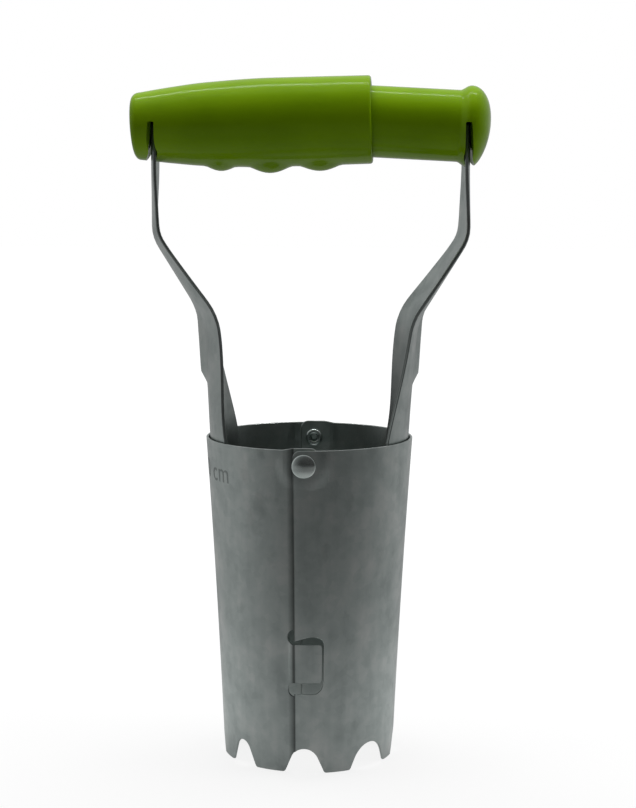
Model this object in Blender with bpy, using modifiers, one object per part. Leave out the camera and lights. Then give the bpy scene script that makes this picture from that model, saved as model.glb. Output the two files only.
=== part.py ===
"""Bulb planter: two riveted half shells of sheet steel, two pressed arms and a two-part spring-loaded grip.

Metres, +Z up. The teeth stand on the plane Z = 0 and the tube's axis is the Z axis. The front is -Y, and the rivets
that the halves turn on lie along Y. The pressings are drawn on the right-hand side, and those of the left half are
turned half round. The left shell has the tab at the front, and the right shell has the notch that it lies in.
"""
import math

import bmesh
import bpy
from mathutils import Matrix, Vector

MM = 0.001

# Fits
SEAT_GAP = 0.35 * MM
SLIDE_GAP = 0.35 * MM
CUT_OVERRUN = 4.0 * MM
WELD_DISTANCE = 0.001 * MM

# Shells: sizes of the sheet tube
SHELL_HEIGHT = 109.0 * MM
SHELL_TOP_RADIUS = 35.0 * MM
SHELL_BOTTOM_RADIUS = 29.0 * MM
SHELL_HOLLOW = 0.4 * MM
SHELL_SHEET = 0.8 * MM
LAYER_PITCH = SHELL_SHEET + SEAT_GAP
SEAM_ANGLE = math.radians(6.0)
EAR_ANGLE = math.radians(8.0)
EAR_RISE = 0.6 * MM
EAR_RISE_ANGLE = math.radians(12.0)
RIM_CORNER_RADIUS = 2.6 * MM

# Shells: toothed edge
ARCH_CENTRES = (0.0, math.radians(47.0), math.radians(90.0), math.radians(133.3), math.pi)
ARCH_HALF_ANGLES = (math.radians(13.3), math.radians(15.9), math.radians(13.5), math.radians(11.8), math.radians(13.3))
ARCH_HEIGHT = 8.4 * MM
ARCH_SLOPE = math.radians(28.0)
TOOTH_CORNER_RADIUS = 1.3 * MM

# Shells: the tab of one half lies in the notch of the other
TAB_LOW = 31.0 * MM
TAB_HIGH = 44.0 * MM
TAB_TIP_ANGLE = math.radians(11.1)
TAB_CORNER_RADIUS = 1.3 * MM
TAB_ROOT_ANGLE = math.radians(10.2)
TAB_RISE_ANGLE = math.radians(3.6)
SLOT_WIDTH = 4.9 * MM
SLOT_END_SHARE = 0.49
NOTCH_LOW = 27.1 * MM
NOTCH_HIGH = 45.2 * MM
NOTCH_PEAK = 47.0 * MM
NOTCH_PEAK_ANGLE = math.radians(5.2)
NOTCH_CORNER = 45.6 * MM
NOTCH_END_ANGLE = math.radians(11.9)
NOTCH_LOW_RADIUS = 3.8 * MM
NOTCH_PEAK_RADIUS = 6.0 * MM
NOTCH_CORNER_RADIUS = 2.4 * MM

# Rivets, which are the hinge of the two halves
RIVET_BELOW_RIM = 5.1 * MM
RIVET_HEIGHT = SHELL_HEIGHT - RIVET_BELOW_RIM
RIVET_SHANK_RADIUS = 2.1 * MM
RIVET_HOLE_RADIUS = RIVET_SHANK_RADIUS + SEAT_GAP
RIVET_HEAD_RADIUS = 4.25 * MM
RIVET_HEAD_DOME = 1.2 * MM
RIVET_HEAD_EDGE = 0.4 * MM
RIVET_COLLAR_RADIUS = 3.0 * MM
RIVET_COLLAR_LENGTH = 1.8 * MM
RIVET_HOLLOW_RADIUS = 1.35 * MM
RIVET_HOLLOW_DEPTH = 3.0 * MM
FLAT_RADIUS = 5.2 * MM
FLAT_BLEND = 3.4 * MM

# Arms: the path of the sheet's outer face, seen from the front
ARM_SHEET = 1.2 * MM
ARM_BELOW_RIM = 25.5 * MM
PIN_X = 52.65 * MM
PIN_RISE = 104.1 * MM
PIN_HEIGHT = SHELL_HEIGHT + PIN_RISE
LOWER_BEND_RISE = 39.6 * MM
LOWER_BEND_HEIGHT = SHELL_HEIGHT + LOWER_BEND_RISE
LOWER_BEND_RADIUS = 18.0 * MM
UPPER_BEND_DROP = 36.8 * MM
UPPER_BEND_HEIGHT = PIN_HEIGHT - UPPER_BEND_DROP
UPPER_BEND_RADIUS = 13.0 * MM
ARM_SECTION_RADIUS = 27.0 * MM
ARM_TWIST = math.radians(10.0)
ARM_TOP_TWIST = math.radians(3.0)
TWIST_END_SHARE = 0.7

# Arms: half widths across the sheet
ARM_FOOT_HALF = 21.2 * MM
ARM_FOOT_CORNER = 5.0 * MM
ARM_BEND_HALF = 13.8 * MM
ARM_NECK_HALF = 8.8 * MM
ARM_TOP_HALF = 7.6 * MM
ARM_NECK_RUN = 7.0 * MM
ARM_EDGE_ROUNDING = 14.0 * MM
SHOULDER_RISE = 0.8 * MM
TONGUE_HALF = 4.6 * MM
TONGUE_RISE = 6.4 * MM
TONGUE_CORNER = 2.6 * MM
SHOULDER_CORNER = 0.9 * MM

# Arms: pressed rib over the lower bend, and the boss that holds the spring's end
RIB_HEIGHT = 1.9 * MM
RIB_HALF_WIDTH = 4.6 * MM
RIB_LOW_DROP = 22.1 * MM
RIB_HIGH_RISE = 7.9 * MM
RIB_LOW = LOWER_BEND_HEIGHT - RIB_LOW_DROP
RIB_HIGH = LOWER_BEND_HEIGHT + RIB_HIGH_RISE
RIB_LOW_BLEND = 5.0 * MM
RIB_HIGH_BLEND = 12.0 * MM
BOSS_RADIUS = 4.0 * MM
BOSS_HEIGHT = 1.8 * MM
BOSS_SLOPE_SHARE = 0.67
PRESSED_LINE_SHARES = (-1.0, -0.6, -0.25, 0.25, 0.6, 1.0)

# Grip: its ends, and how far the tops of the arms come together
SQUEEZE_STROKE = 28.15 * MM
STOP_GAP = 0.4 * MM
GRIP_END_BEYOND_PIN = 7.3 * MM
KNOB_SHOULDER_INSIDE_PIN = 3.4 * MM
KNOB_SHOULDER_X = PIN_X - KNOB_SHOULDER_INSIDE_PIN

# Sleeve, the outer grip moulding
SLEEVE_END_X = -PIN_X - GRIP_END_BEYOND_PIN
SLEEVE_MOUTH_X = KNOB_SHOULDER_X - SQUEEZE_STROKE - STOP_GAP
SLEEVE_END_RADIUS = 11.2 * MM
SLEEVE_WAIST_RADIUS = 12.65 * MM
SLEEVE_WAIST_INSIDE_END = 13.8 * MM
SLEEVE_SWELL_RADIUS = 13.85 * MM
SLEEVE_SWELL_INSIDE_END = 25.2 * MM
SLEEVE_FULL_RADIUS = 14.75 * MM
SLEEVE_FULL_INSIDE_END = 47.2 * MM
SLEEVE_MOUTH_RADIUS = 14.6 * MM
SLEEVE_LIP_RADIUS = 1.0 * MM
SLEEVE_END_DOME = 0.8 * MM
SLEEVE_END_CORNER = 2.4 * MM
SLEEVE_LEAN = math.radians(1.75)
SLEEVE_END_SLANT = math.radians(2.0)
BUMPS_INSIDE_END = (29.6 * MM, 46.3 * MM, 63.1 * MM)
BUMP_HALF_LENGTHS = (4.3 * MM, 6.2 * MM, 6.1 * MM)
BUMP_STAND_OUTS = (1.5 * MM, 2.0 * MM, 1.8 * MM)
BUMP_HALF_WIDTH = 6.5 * MM
BUMP_HALF_HEIGHT = 3.4 * MM

# Plunger, the inner grip moulding
PLUNGER_RADIUS = 11.85 * MM
PLUNGER_WALL = 2.1 * MM
PLUNGER_OVERLAP = 19.8 * MM
PLUNGER_INNER_X = SLEEVE_MOUTH_X - PLUNGER_OVERLAP
PLUNGER_END_CHAMFER = 0.8 * MM
PLUNGER_DROOP = math.radians(2.9)
KNOB_RADIUS = 13.5 * MM
KNOB_END_X = PIN_X + GRIP_END_BEYOND_PIN
KNOB_DOME_DEPTH = 6.6 * MM
KNOB_SLANT = math.radians(3.1)
# The flare's places: shares of the way along it and of the way out to the knob's full radius
KNOB_FLARE = 2.0 * MM
KNOB_FLARE_SHARES = ((2.0, 1.0), (1.0, 0.79), (0.25, 0.4), (0.0, 0.0))

# Hollows inside the grip
GUIDE_RADIUS = 9.0 * MM
POCKET_RADIUS = 8.3 * MM
POCKET_BEYOND_PIN = 2.7 * MM
POCKET_INSIDE_PIN = 4.4 * MM
BORE_LOOSENESS = 1.3 * MM
BORE_SPARE = 3.0 * MM
BORE_CONE = 3.5 * MM
SLOT_SIDE_GAP = 0.4 * MM
SLOT_TOP_GAP = 0.4 * MM
SLOT_TURN_SPARE = math.radians(0.5)

# Return spring
SPRING_RADIUS = 5.4 * MM
SPRING_WIRE = 1.2 * MM
SPRING_TURNS = 14
SPRING_END_TURNS = 1.5
SPRING_END_PITCH = 1.75 * MM
SPRING_LEAN = math.radians(0.7)
POINTS_PER_TURN = 9

# Steps of the faceted model
SHEET_STEP = math.radians(4.0)
ARC_STEP = math.radians(22.0)
ARM_LENGTH_STEP = 3.9 * MM
ARM_WIDTH_STEP = 3.7 * MM
FLAT_STEP = 2.2 * MM
PATH_STEP = 1.0 * MM
NEAR_RIVET_SHARE = 1.2
TAB_RAMP_SHARES = (0.0, 0.2, 0.4, 0.6, 0.8, 1.0)
TURN_STEPS = 36
RIVET_STEPS = 16
BUMP_STEPS = 16
STATION_STEPS = 4
END_DOME_STEPS = 3
KNOB_DOME_STEPS = 6
HEAD_DOME_STEPS = 5
FLAT_ANGLE = math.radians(1.0)
MOULDING_FLAT_ANGLE = math.radians(0.2)
SHARP_ANGLE = math.radians(35.0)

# Materials as colour, metallic and roughness
STEEL = ("galvanised_steel", (0.20, 0.215, 0.205, 1.0), 0.9, 0.42)
RIVET_STEEL = ("rivet_steel", (0.24, 0.25, 0.245, 1.0), 0.9, 0.38)
SPRING_STEEL = ("spring_steel", (0.14, 0.14, 0.14, 1.0), 0.9, 0.35)
GREEN_PLASTIC = ("green_plastic", (0.16, 0.30, 0.005, 1.0), 0.0, 0.22)


def clear_scene():
    """Remove the objects that a new file starts with."""
    for item in list(bpy.data.objects):
        bpy.data.objects.remove(item, do_unlink=True)


def new_collection(name):
    """A collection in the scene."""
    group = bpy.data.collections.new(name)
    bpy.context.scene.collection.children.link(group)
    return group


def new_material(name, colour, metallic, roughness):
    """A plain material."""
    material = bpy.data.materials.new(name)
    material.use_nodes = True
    shader = material.node_tree.nodes["Principled BSDF"]
    shader.inputs["Base Color"].default_value = colour
    shader.inputs["Metallic"].default_value = metallic
    shader.inputs["Roughness"].default_value = roughness
    return material


def smoothstep(value):
    """An even ramp from 0 to 1."""
    held = min(max(value, 0.0), 1.0)
    return held * held * (3.0 - 2.0 * held)


def rounded(corners, closed=True):
    """Points of an outline whose corners (across, along, radius) are rounded by arcs."""
    points = []
    count = len(corners)
    for index, (across, along, radius) in enumerate(corners):
        here = Vector((across, along))
        if radius == 0 or (not closed and index in (0, count - 1)):
            points.append(here)
            continue
        before = Vector(corners[index - 1][:2]) - here
        after = Vector(corners[(index + 1) % count][:2]) - here
        turn = math.pi - before.angle(after)
        reach = radius * math.tan(turn / 2)
        start = here + before.normalized() * reach
        middle = (before.normalized() + after.normalized()).normalized()
        centre = here + middle * (radius / math.cos(turn / 2))
        arm = start - centre
        side = 1.0 if before.cross(after) < 0 else -1.0
        steps = max(2, math.ceil(turn / ARC_STEP))
        for step in range(steps + 1):
            angle = side * turn * step / steps
            swing = Matrix.Rotation(angle, 2)
            points.append(centre + swing @ arm)
    return points


def ellipse(across, along, half_width, half_length, count):
    """Points round a hole."""
    angles = [2 * math.pi * step / count for step in range(count)]
    return [Vector((across + half_width * math.cos(a), along + half_length * math.sin(a))) for a in angles]


def mesh_from_curve(name, outlines, thickness):
    """A flat blank as a bmesh: a filled 2D curve, as thick as the sheet."""
    curve = bpy.data.curves.new(name, "CURVE")
    curve.dimensions = "2D"
    curve.fill_mode = "BOTH"
    curve.extrude = thickness / 2
    for outline in outlines:
        spline = curve.splines.new("POLY")
        spline.points.add(len(outline) - 1)
        for point, (across, along) in zip(spline.points, outline):
            point.co = (across, along, 0, 1)
        spline.use_cyclic_u = True
    holder = bpy.data.objects.new(name + "_curve", curve)
    bpy.context.scene.collection.objects.link(holder)
    graph = bpy.context.evaluated_depsgraph_get()
    flat = bpy.data.meshes.new_from_object(holder.evaluated_get(graph))
    bpy.data.objects.remove(holder, do_unlink=True)
    bpy.data.curves.remove(curve)
    blank = bmesh.new()
    blank.from_mesh(flat)
    bpy.data.meshes.remove(flat)
    bmesh.ops.remove_doubles(blank, verts=blank.verts, dist=WELD_DISTANCE)
    return blank


def cut_lines(blank, places, direction, keep=None):
    """Cut the blank along straight lines, so that it can bend there. keep limits the faces that are cut."""
    for place in places:
        faces = [face for face in blank.faces if keep is None or keep(face.calc_center_median())]
        edges = {edge for face in faces for edge in face.edges}
        verts = {vert for face in faces for vert in face.verts}
        origin = Vector(direction) * place
        cut = bmesh.ops.bisect_plane(blank, geom=[*verts, *edges, *faces], dist=WELD_DISTANCE,
                                     plane_co=origin, plane_no=direction)
        for item in cut["geom_cut"]:
            if isinstance(item, bmesh.types.BMEdge):
                item.seam = True


def join_slivers(blank):
    """Join the filled curve's thin triangles up to the lines where the sheet bends, and split the rest while flat."""
    bmesh.ops.dissolve_limit(blank, angle_limit=FLAT_ANGLE, verts=blank.verts, edges=blank.edges,
                             use_dissolve_boundaries=False, delimit={"SEAM"})
    bmesh.ops.triangulate(blank, faces=blank.faces)
    for edge in blank.edges:
        edge.seam = False


def finish_mesh(name, shape):
    """A mesh with its faces out and its round surfaces shaded smooth."""
    bmesh.ops.triangulate(shape, faces=[face for face in shape.faces if len(face.verts) > 4])
    bmesh.ops.recalc_face_normals(shape, faces=shape.faces)
    if shape.calc_volume(signed=True) < 0:
        bmesh.ops.reverse_faces(shape, faces=shape.faces)
    mesh = bpy.data.meshes.new(name)
    shape.to_mesh(mesh)
    shape.free()
    mesh.shade_smooth()
    mesh.set_sharp_from_angle(angle=SHARP_ANGLE)
    return mesh


def world_place(pivot):
    """Where a pivot stands, through the pivots that carry it."""
    place = pivot.location.copy()
    while pivot.parent is not None:
        pivot = pivot.parent
        place += pivot.location
    return place


def add_piece(name, mesh, material, group, pivot, turn=0.0):
    """One object of the planter, carried by its pivot. Its mesh is drawn in the world's place, before its turn."""
    item = bpy.data.objects.new(name, mesh)
    if not mesh.materials:
        mesh.materials.append(material)
    group.objects.link(item)
    item.parent = pivot
    item.location = -world_place(pivot)
    item.rotation_euler.z = turn
    return item


def add_pivot(name, place, group, carrier=None):
    """An empty on a joint's axis."""
    pivot = bpy.data.objects.new(name, None)
    group.objects.link(pivot)
    pivot.location = place
    pivot.empty_display_size = PLUNGER_RADIUS
    if carrier is not None:
        pivot.parent = carrier
        pivot.location -= world_place(carrier)
    return pivot


def shell_radius(height):
    """Outer radius of the tube at the sides, where each half is midway between its two layers. It is a little waisted."""
    share = height / SHELL_HEIGHT
    hollow = SHELL_HOLLOW * max(1.0 - (2.0 * share - 1.0) ** 2, 0.0)
    return SHELL_BOTTOM_RADIUS + (SHELL_TOP_RADIUS - SHELL_BOTTOM_RADIUS) * share - hollow


def layer_offset(azimuth):
    """Each half runs from the outer layer at its seam to the inner layer at its ear."""
    return LAYER_PITCH * (0.5 - azimuth / math.pi)


def arch_circle(half_angle):
    """Radius of an arch's round top, which touches both flanks and the full height."""
    flank_top = SHELL_TOP_RADIUS * half_angle - ARCH_HEIGHT * math.tan(ARCH_SLOPE)
    return flank_top / math.tan((math.pi / 2 - ARCH_SLOPE) / 2)


def arch_points(half_angle):
    """One arch on the blank, from its left foot to its right foot, about its own middle."""
    foot = SHELL_TOP_RADIUS * half_angle
    radius = arch_circle(half_angle)
    half_turn = math.pi / 2 - ARCH_SLOPE
    steps = 2 * math.ceil(half_turn / ARC_STEP)
    points = []
    for step in range(steps + 1):
        angle = -half_turn + 2 * half_turn * step / steps
        points.append((radius * math.sin(angle), ARCH_HEIGHT - radius * (1 - math.cos(angle)), 0))
    return [(-foot, 0, TOOTH_CORNER_RADIUS), *points, (foot, 0, TOOTH_CORNER_RADIUS)]


def part_arch(centre, half_angle, edge):
    """The arch that a side edge of the blank cuts: its points on the blank's side of that edge."""
    kept = []
    side = 1.0 if edge < centre else -1.0
    offset = edge - centre
    radius = arch_circle(half_angle)
    height = ARCH_HEIGHT - radius + math.sqrt(radius * radius - offset * offset)
    for across, along, corner in arch_points(half_angle):
        if (across - offset) * side > WELD_DISTANCE:
            kept.append((centre + across, along, corner))
    start = (edge, height, 0)
    return [start, *kept] if side > 0 else [*kept, start]


def shell_outline(tabbed, notched):
    """The half shell's blank: across is azimuth times the top radius, along is height."""
    unit = SHELL_TOP_RADIUS
    seam = -SEAM_ANGLE * unit
    back = math.pi * unit
    ear = back + EAR_ANGLE * unit
    ear_top = SHELL_HEIGHT + EAR_RISE
    rise = EAR_RISE_ANGLE * unit
    arches = list(zip(ARCH_CENTRES, ARCH_HALF_ANGLES))
    corners = part_arch(arches[0][0] * unit, arches[0][1], seam)
    for centre, half_angle in arches[1:-1]:
        corners += [(centre * unit + across, along, corner) for across, along, corner in arch_points(half_angle)]
    corners += part_arch(arches[-1][0] * unit, arches[-1][1], ear)
    if tabbed:
        root = back - TAB_ROOT_ANGLE * unit
        tip = back + TAB_TIP_ANGLE * unit
        slot_end = SLOT_WIDTH * SLOT_END_SHARE
        corners += [
            (ear, TAB_LOW - SLOT_WIDTH, 0),
            (root, TAB_LOW - SLOT_WIDTH, slot_end),
            (root, TAB_LOW, slot_end),
            (tip, TAB_LOW, TAB_CORNER_RADIUS),
            (tip, TAB_HIGH, TAB_CORNER_RADIUS),
            (root, TAB_HIGH, slot_end),
            (root, TAB_HIGH + SLOT_WIDTH, slot_end),
            (ear, TAB_HIGH + SLOT_WIDTH, 0),
        ]
    corners += [
        (ear, ear_top, RIM_CORNER_RADIUS),
        (back - rise / 2, ear_top, 0),
        (back - rise, SHELL_HEIGHT, 0),
        (seam, SHELL_HEIGHT, RIM_CORNER_RADIUS),
    ]
    if notched:
        notch = NOTCH_END_ANGLE * unit
        corners += [
            (seam, NOTCH_HIGH, 0),
            (NOTCH_PEAK_ANGLE * unit, NOTCH_PEAK, NOTCH_PEAK_RADIUS),
            (notch, NOTCH_CORNER, NOTCH_CORNER_RADIUS),
            (notch, NOTCH_LOW, NOTCH_LOW_RADIUS),
            (seam, NOTCH_LOW, 0),
        ]
    return rounded(corners)


def rivet_plane(azimuth):
    """Distance from the axis to the middle of the sheet, where it is pressed flat round a rivet."""
    return shell_radius(RIVET_HEIGHT) - SHELL_SHEET / 2 + layer_offset(azimuth)


def place_on_shell(flat, tabbed):
    """Where a point of the half shell's blank lies once the sheet is rolled and pressed."""
    azimuth = flat.x / SHELL_TOP_RADIUS
    height = flat.y
    radius = shell_radius(height) - SHELL_SHEET / 2 + layer_offset(azimuth) + flat.z
    past_root = azimuth - (math.pi - TAB_ROOT_ANGLE)
    if tabbed and TAB_LOW - SLOT_WIDTH / 2 < height < TAB_HIGH + SLOT_WIDTH / 2 and past_root > 0:
        radius += LAYER_PITCH * smoothstep(past_root / TAB_RISE_ANGLE)
    point = Vector((radius * math.sin(azimuth), -radius * math.cos(azimuth), height))
    rivet_azimuth = 0.0 if azimuth < math.pi / 2 else math.pi
    away = math.hypot(point.x, height - RIVET_HEIGHT)
    share = 1.0 - smoothstep((away - FLAT_RADIUS) / FLAT_BLEND)
    flat_y = -(rivet_plane(rivet_azimuth) + flat.z) * math.cos(rivet_azimuth)
    point.y += (flat_y - point.y) * share
    return point


def make_shell(name, tabbed, notched):
    """A half shell's mesh, on the right-hand side."""
    unit = SHELL_TOP_RADIUS
    back = math.pi * unit
    holes = []
    for azimuth in (0.0, math.pi):
        half_width = RIVET_HOLE_RADIUS * unit / rivet_plane(azimuth)
        holes.append(ellipse(azimuth * unit, RIVET_HEIGHT, half_width, RIVET_HOLE_RADIUS, RIVET_STEPS))
    blank = mesh_from_curve("shell_blank", [shell_outline(tabbed, notched), *holes], SHELL_SHEET)
    first = -SEAM_ANGLE
    last = math.pi + (TAB_TIP_ANGLE if tabbed else EAR_ANGLE)
    steps = math.ceil((last - first) / SHEET_STEP)
    cut_lines(blank, [(first + (last - first) * step / steps) * unit for step in range(1, steps)], (1, 0, 0))
    reach = FLAT_RADIUS + FLAT_BLEND
    near_reach = reach * NEAR_RIVET_SHARE
    cut_lines(blank, [RIVET_HEIGHT - near_reach], (0, 1, 0))
    count = math.ceil(reach / FLAT_STEP)
    beside = [reach * step / count for step in range(-count, count + 1)]
    for centre in (0.0, back):

        def near(point, centre=centre):
            return abs(point.x - centre) < near_reach and point.y > RIVET_HEIGHT - near_reach

        cut_lines(blank, [centre + place for place in beside], (1, 0, 0), near)
        cut_lines(blank, [RIVET_HEIGHT + place for place in beside], (0, 1, 0), near)
    if tabbed:
        root = math.pi - TAB_ROOT_ANGLE

        def in_tab(point):
            return point.x > (root - SHEET_STEP) * unit and TAB_LOW < point.y < TAB_HIGH

        cut_lines(blank, [(root + TAB_RISE_ANGLE * share) * unit for share in TAB_RAMP_SHARES], (1, 0, 0), in_tab)
    join_slivers(blank)
    for vert in blank.verts:
        vert.co = place_on_shell(vert.co, tabbed)
    return finish_mesh(name, blank)


def arm_outer_x(height):
    """The arm's outer face lies against the inside of its shell and carries on in the same line above it."""
    return shell_radius(height) - SHELL_SHEET - SEAT_GAP


def arm_path():
    """The middle of the arm's sheet from its foot to the top of its tongue, as close points (x, z)."""
    half = ARM_SHEET / 2
    foot = SHELL_HEIGHT - ARM_BELOW_RIM
    corners = [
        (arm_outer_x(foot) - half, foot, 0),
        (arm_outer_x(LOWER_BEND_HEIGHT) - half, LOWER_BEND_HEIGHT, LOWER_BEND_RADIUS),
        (PIN_X, UPPER_BEND_HEIGHT, UPPER_BEND_RADIUS),
        (PIN_X, PIN_HEIGHT + TONGUE_RISE, 0),
    ]
    turns = rounded(corners, closed=False)
    points = [turns[0]]
    for start, end in zip(turns, turns[1:]):
        steps = max(1, math.ceil((end - start).length / PATH_STEP))
        points += [start.lerp(end, step / steps) for step in range(1, steps + 1)]
    return points


class Route:
    """A path that is read by its length."""

    def __init__(self, points):
        self.points = points
        self.lengths = [0.0]
        for start, end in zip(points, points[1:]):
            self.lengths.append(self.lengths[-1] + (end - start).length)

    def length_at(self, height):
        """Length along the path where it reaches a height."""
        for index, (start, end) in enumerate(zip(self.points, self.points[1:])):
            if start.y <= height <= end.y:
                return self.lengths[index] + (end - start).length * (height - start.y) / (end.y - start.y)
        return self.lengths[-1]

    def point(self, length):
        """Place on the path at a length, which runs straight on past its ends."""
        index = 0
        while index < len(self.points) - 2 and self.lengths[index + 1] < length:
            index += 1
        start, end = self.points[index], self.points[index + 1]
        return start + (end - start).normalized() * (length - self.lengths[index])

    def direction(self, length):
        """Direction of the path at a length, evened out over a step to each side."""
        return (self.point(length + PATH_STEP) - self.point(length - PATH_STEP)).normalized()


def arm_outline(route):
    """The arm's blank: across is width, along is length on the path."""
    total = route.lengths[-1]
    rim = route.length_at(SHELL_HEIGHT)
    bend = route.length_at(LOWER_BEND_HEIGHT)
    neck = route.length_at(UPPER_BEND_HEIGHT)
    shoulder = route.length_at(PIN_HEIGHT + SHOULDER_RISE)
    side = [
        (ARM_FOOT_HALF, 0, ARM_FOOT_CORNER),
        (ARM_FOOT_HALF, rim, ARM_EDGE_ROUNDING),
        (ARM_BEND_HALF, bend, ARM_EDGE_ROUNDING),
        (ARM_NECK_HALF, neck - ARM_NECK_RUN, ARM_EDGE_ROUNDING),
        (ARM_TOP_HALF, neck + ARM_NECK_RUN, ARM_EDGE_ROUNDING),
        (ARM_TOP_HALF, shoulder, SHOULDER_CORNER),
        (TONGUE_HALF, shoulder, SHOULDER_CORNER),
        (TONGUE_HALF, total, TONGUE_CORNER),
    ]
    other = [(-across, along, corner) for across, along, corner in reversed(side)]
    return rounded(side + other)


def place_on_arm(flat, route):
    """Where a point of the arm's blank lies once the sheet is pressed, on the right-hand side."""
    here = route.point(flat.y)
    direction = route.direction(flat.y)
    outward = Vector((direction.y, -direction.x))
    grown = smoothstep((here.y - SHELL_HEIGHT) / (LOWER_BEND_HEIGHT - SHELL_HEIGHT))
    nested = 1.0 - grown
    section = here.x * nested + ARM_SECTION_RADIUS * grown
    angle = flat.x / section
    rise = (section + flat.z) * math.cos(angle) - section
    sideways = (section + flat.z) * math.sin(angle)
    low = smoothstep((here.y - RIB_LOW) / RIB_LOW_BLEND)
    high = smoothstep((RIB_HIGH - here.y) / RIB_HIGH_BLEND)
    rise += RIB_HEIGHT * low * high * smoothstep(1.0 - abs(flat.x) / RIB_HALF_WIDTH)
    from_pin = math.hypot(flat.x, here.y - PIN_HEIGHT)
    rise -= BOSS_HEIGHT * smoothstep((1.0 - from_pin / BOSS_RADIUS) / BOSS_SLOPE_SHARE)
    faded = smoothstep((here.y - UPPER_BEND_HEIGHT) / (UPPER_BEND_DROP * TWIST_END_SHARE))
    twist = -ARM_TWIST * (grown - faded) - ARM_TOP_TWIST * faded
    shift = -LAYER_PITCH / math.pi * nested
    out = rise * math.cos(twist) + sideways * math.sin(twist)
    along_y = sideways * math.cos(twist) - rise * math.sin(twist) + shift
    return Vector((here.x + outward.x * out, along_y, here.y + outward.y * out))


def make_arm():
    """The arm's mesh, on the right-hand side."""
    route = Route(arm_path())
    blank = mesh_from_curve("arm_blank", [arm_outline(route)], ARM_SHEET)
    total = route.lengths[-1]
    steps = math.ceil(total / ARM_LENGTH_STEP)
    cut_lines(blank, [total * step / steps for step in range(1, steps)], (0, 1, 0))
    steps = math.ceil(ARM_FOOT_HALF / ARM_WIDTH_STEP)
    cut_lines(blank, [ARM_FOOT_HALF * step / steps for step in range(1 - steps, steps)], (1, 0, 0))
    rib_start = route.length_at(RIB_LOW)
    rib_end = route.length_at(RIB_HIGH)
    pin = route.length_at(PIN_HEIGHT)

    def in_rib(point):
        return rib_start < point.y < rib_end and abs(point.x) < RIB_HALF_WIDTH + ARM_WIDTH_STEP

    def in_boss(point):
        return abs(point.y - pin) < BOSS_RADIUS and abs(point.x) < BOSS_RADIUS + ARM_WIDTH_STEP

    cut_lines(blank, [RIB_HALF_WIDTH * share for share in PRESSED_LINE_SHARES], (1, 0, 0), in_rib)
    cut_lines(blank, [BOSS_RADIUS * share for share in PRESSED_LINE_SHARES], (1, 0, 0), in_boss)
    cut_lines(blank, [pin + BOSS_RADIUS * share for share in PRESSED_LINE_SHARES], (0, 1, 0), in_boss)
    join_slivers(blank)
    for vert in blank.verts:
        vert.co = place_on_arm(vert.co, route)
    return finish_mesh("pressed_arm", blank)


def turned(name, profile, steps):
    """A closed solid of revolution about Z. The profile (radius, height) runs down its outer side."""
    mesh = bpy.data.meshes.new(name)
    points = [(radius, 0, height) for radius, height in profile]
    mesh.from_pydata(points, [(index, index + 1) for index in range(len(points) - 1)], [])
    holder = bpy.data.objects.new(name, mesh)
    bpy.context.scene.collection.objects.link(holder)
    screw = holder.modifiers.new("turn", "SCREW")
    screw.steps = steps
    screw.render_steps = steps
    screw.use_merge_vertices = True
    screw.merge_threshold = WELD_DISTANCE
    graph = bpy.context.evaluated_depsgraph_get()
    solid = bpy.data.meshes.new_from_object(holder.evaluated_get(graph))
    bpy.data.objects.remove(holder, do_unlink=True)
    bpy.data.meshes.remove(mesh)
    shape = bmesh.new()
    shape.from_mesh(solid)
    bpy.data.meshes.remove(solid)
    bmesh.ops.remove_doubles(shape, verts=shape.verts, dist=WELD_DISTANCE)
    bmesh.ops.dissolve_degenerate(shape, edges=shape.edges, dist=WELD_DISTANCE)
    bmesh.ops.recalc_face_normals(shape, faces=shape.faces)
    if shape.calc_volume(signed=True) < 0:
        bmesh.ops.reverse_faces(shape, faces=shape.faces)
    return shape


def lay_along_x(shape):
    """Turn a solid of revolution so that its heights become X, and lift it to the grip's axis."""
    bmesh.ops.transform(shape, matrix=Matrix.Rotation(math.pi / 2, 4, "Y"), verts=shape.verts)
    bmesh.ops.translate(shape, vec=(0, 0, PIN_HEIGHT), verts=shape.verts)
    return shape


def arc_profile(centre_radius, centre_height, radius, start, end):
    """Points of a profile along an arc, with its angles measured from the outward radius towards +height."""
    steps = max(3, math.ceil(abs(end - start) / ARC_STEP))
    points = []
    for step in range(steps + 1):
        angle = start + (end - start) * step / steps
        points.append((centre_radius + radius * math.cos(angle), centre_height + radius * math.sin(angle)))
    return points


def smooth_line(stations, steps):
    """Points of a smooth curve through (height, radius) stations, by a monotone cubic."""
    heights = [height for height, _ in stations]
    radii = [radius for _, radius in stations]
    slopes = [(radii[i + 1] - radii[i]) / (heights[i + 1] - heights[i]) for i in range(len(radii) - 1)]
    ends = [slopes[0]]
    for before, after in zip(slopes, slopes[1:]):
        ends.append(0.0 if before * after <= 0 else 2 * before * after / (before + after))
    ends.append(slopes[-1])
    points = []
    for index in range(len(slopes)):
        width = heights[index + 1] - heights[index]
        for step in range(steps):
            t = step / steps
            value = ((1 + 2 * t) * (1 - t) ** 2 * radii[index] + t * (1 - t) ** 2 * width * ends[index]
                     + t * t * (3 - 2 * t) * radii[index + 1] + t * t * (t - 1) * width * ends[index + 1])
            points.append((value, heights[index] + width * t))
    points.append((radii[-1], heights[-1]))
    return points


def solid_object(name, shape, group):
    """An object for Boolean work."""
    mesh = finish_mesh(name, shape)
    item = bpy.data.objects.new(name, mesh)
    group.objects.link(item)
    return item


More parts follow.
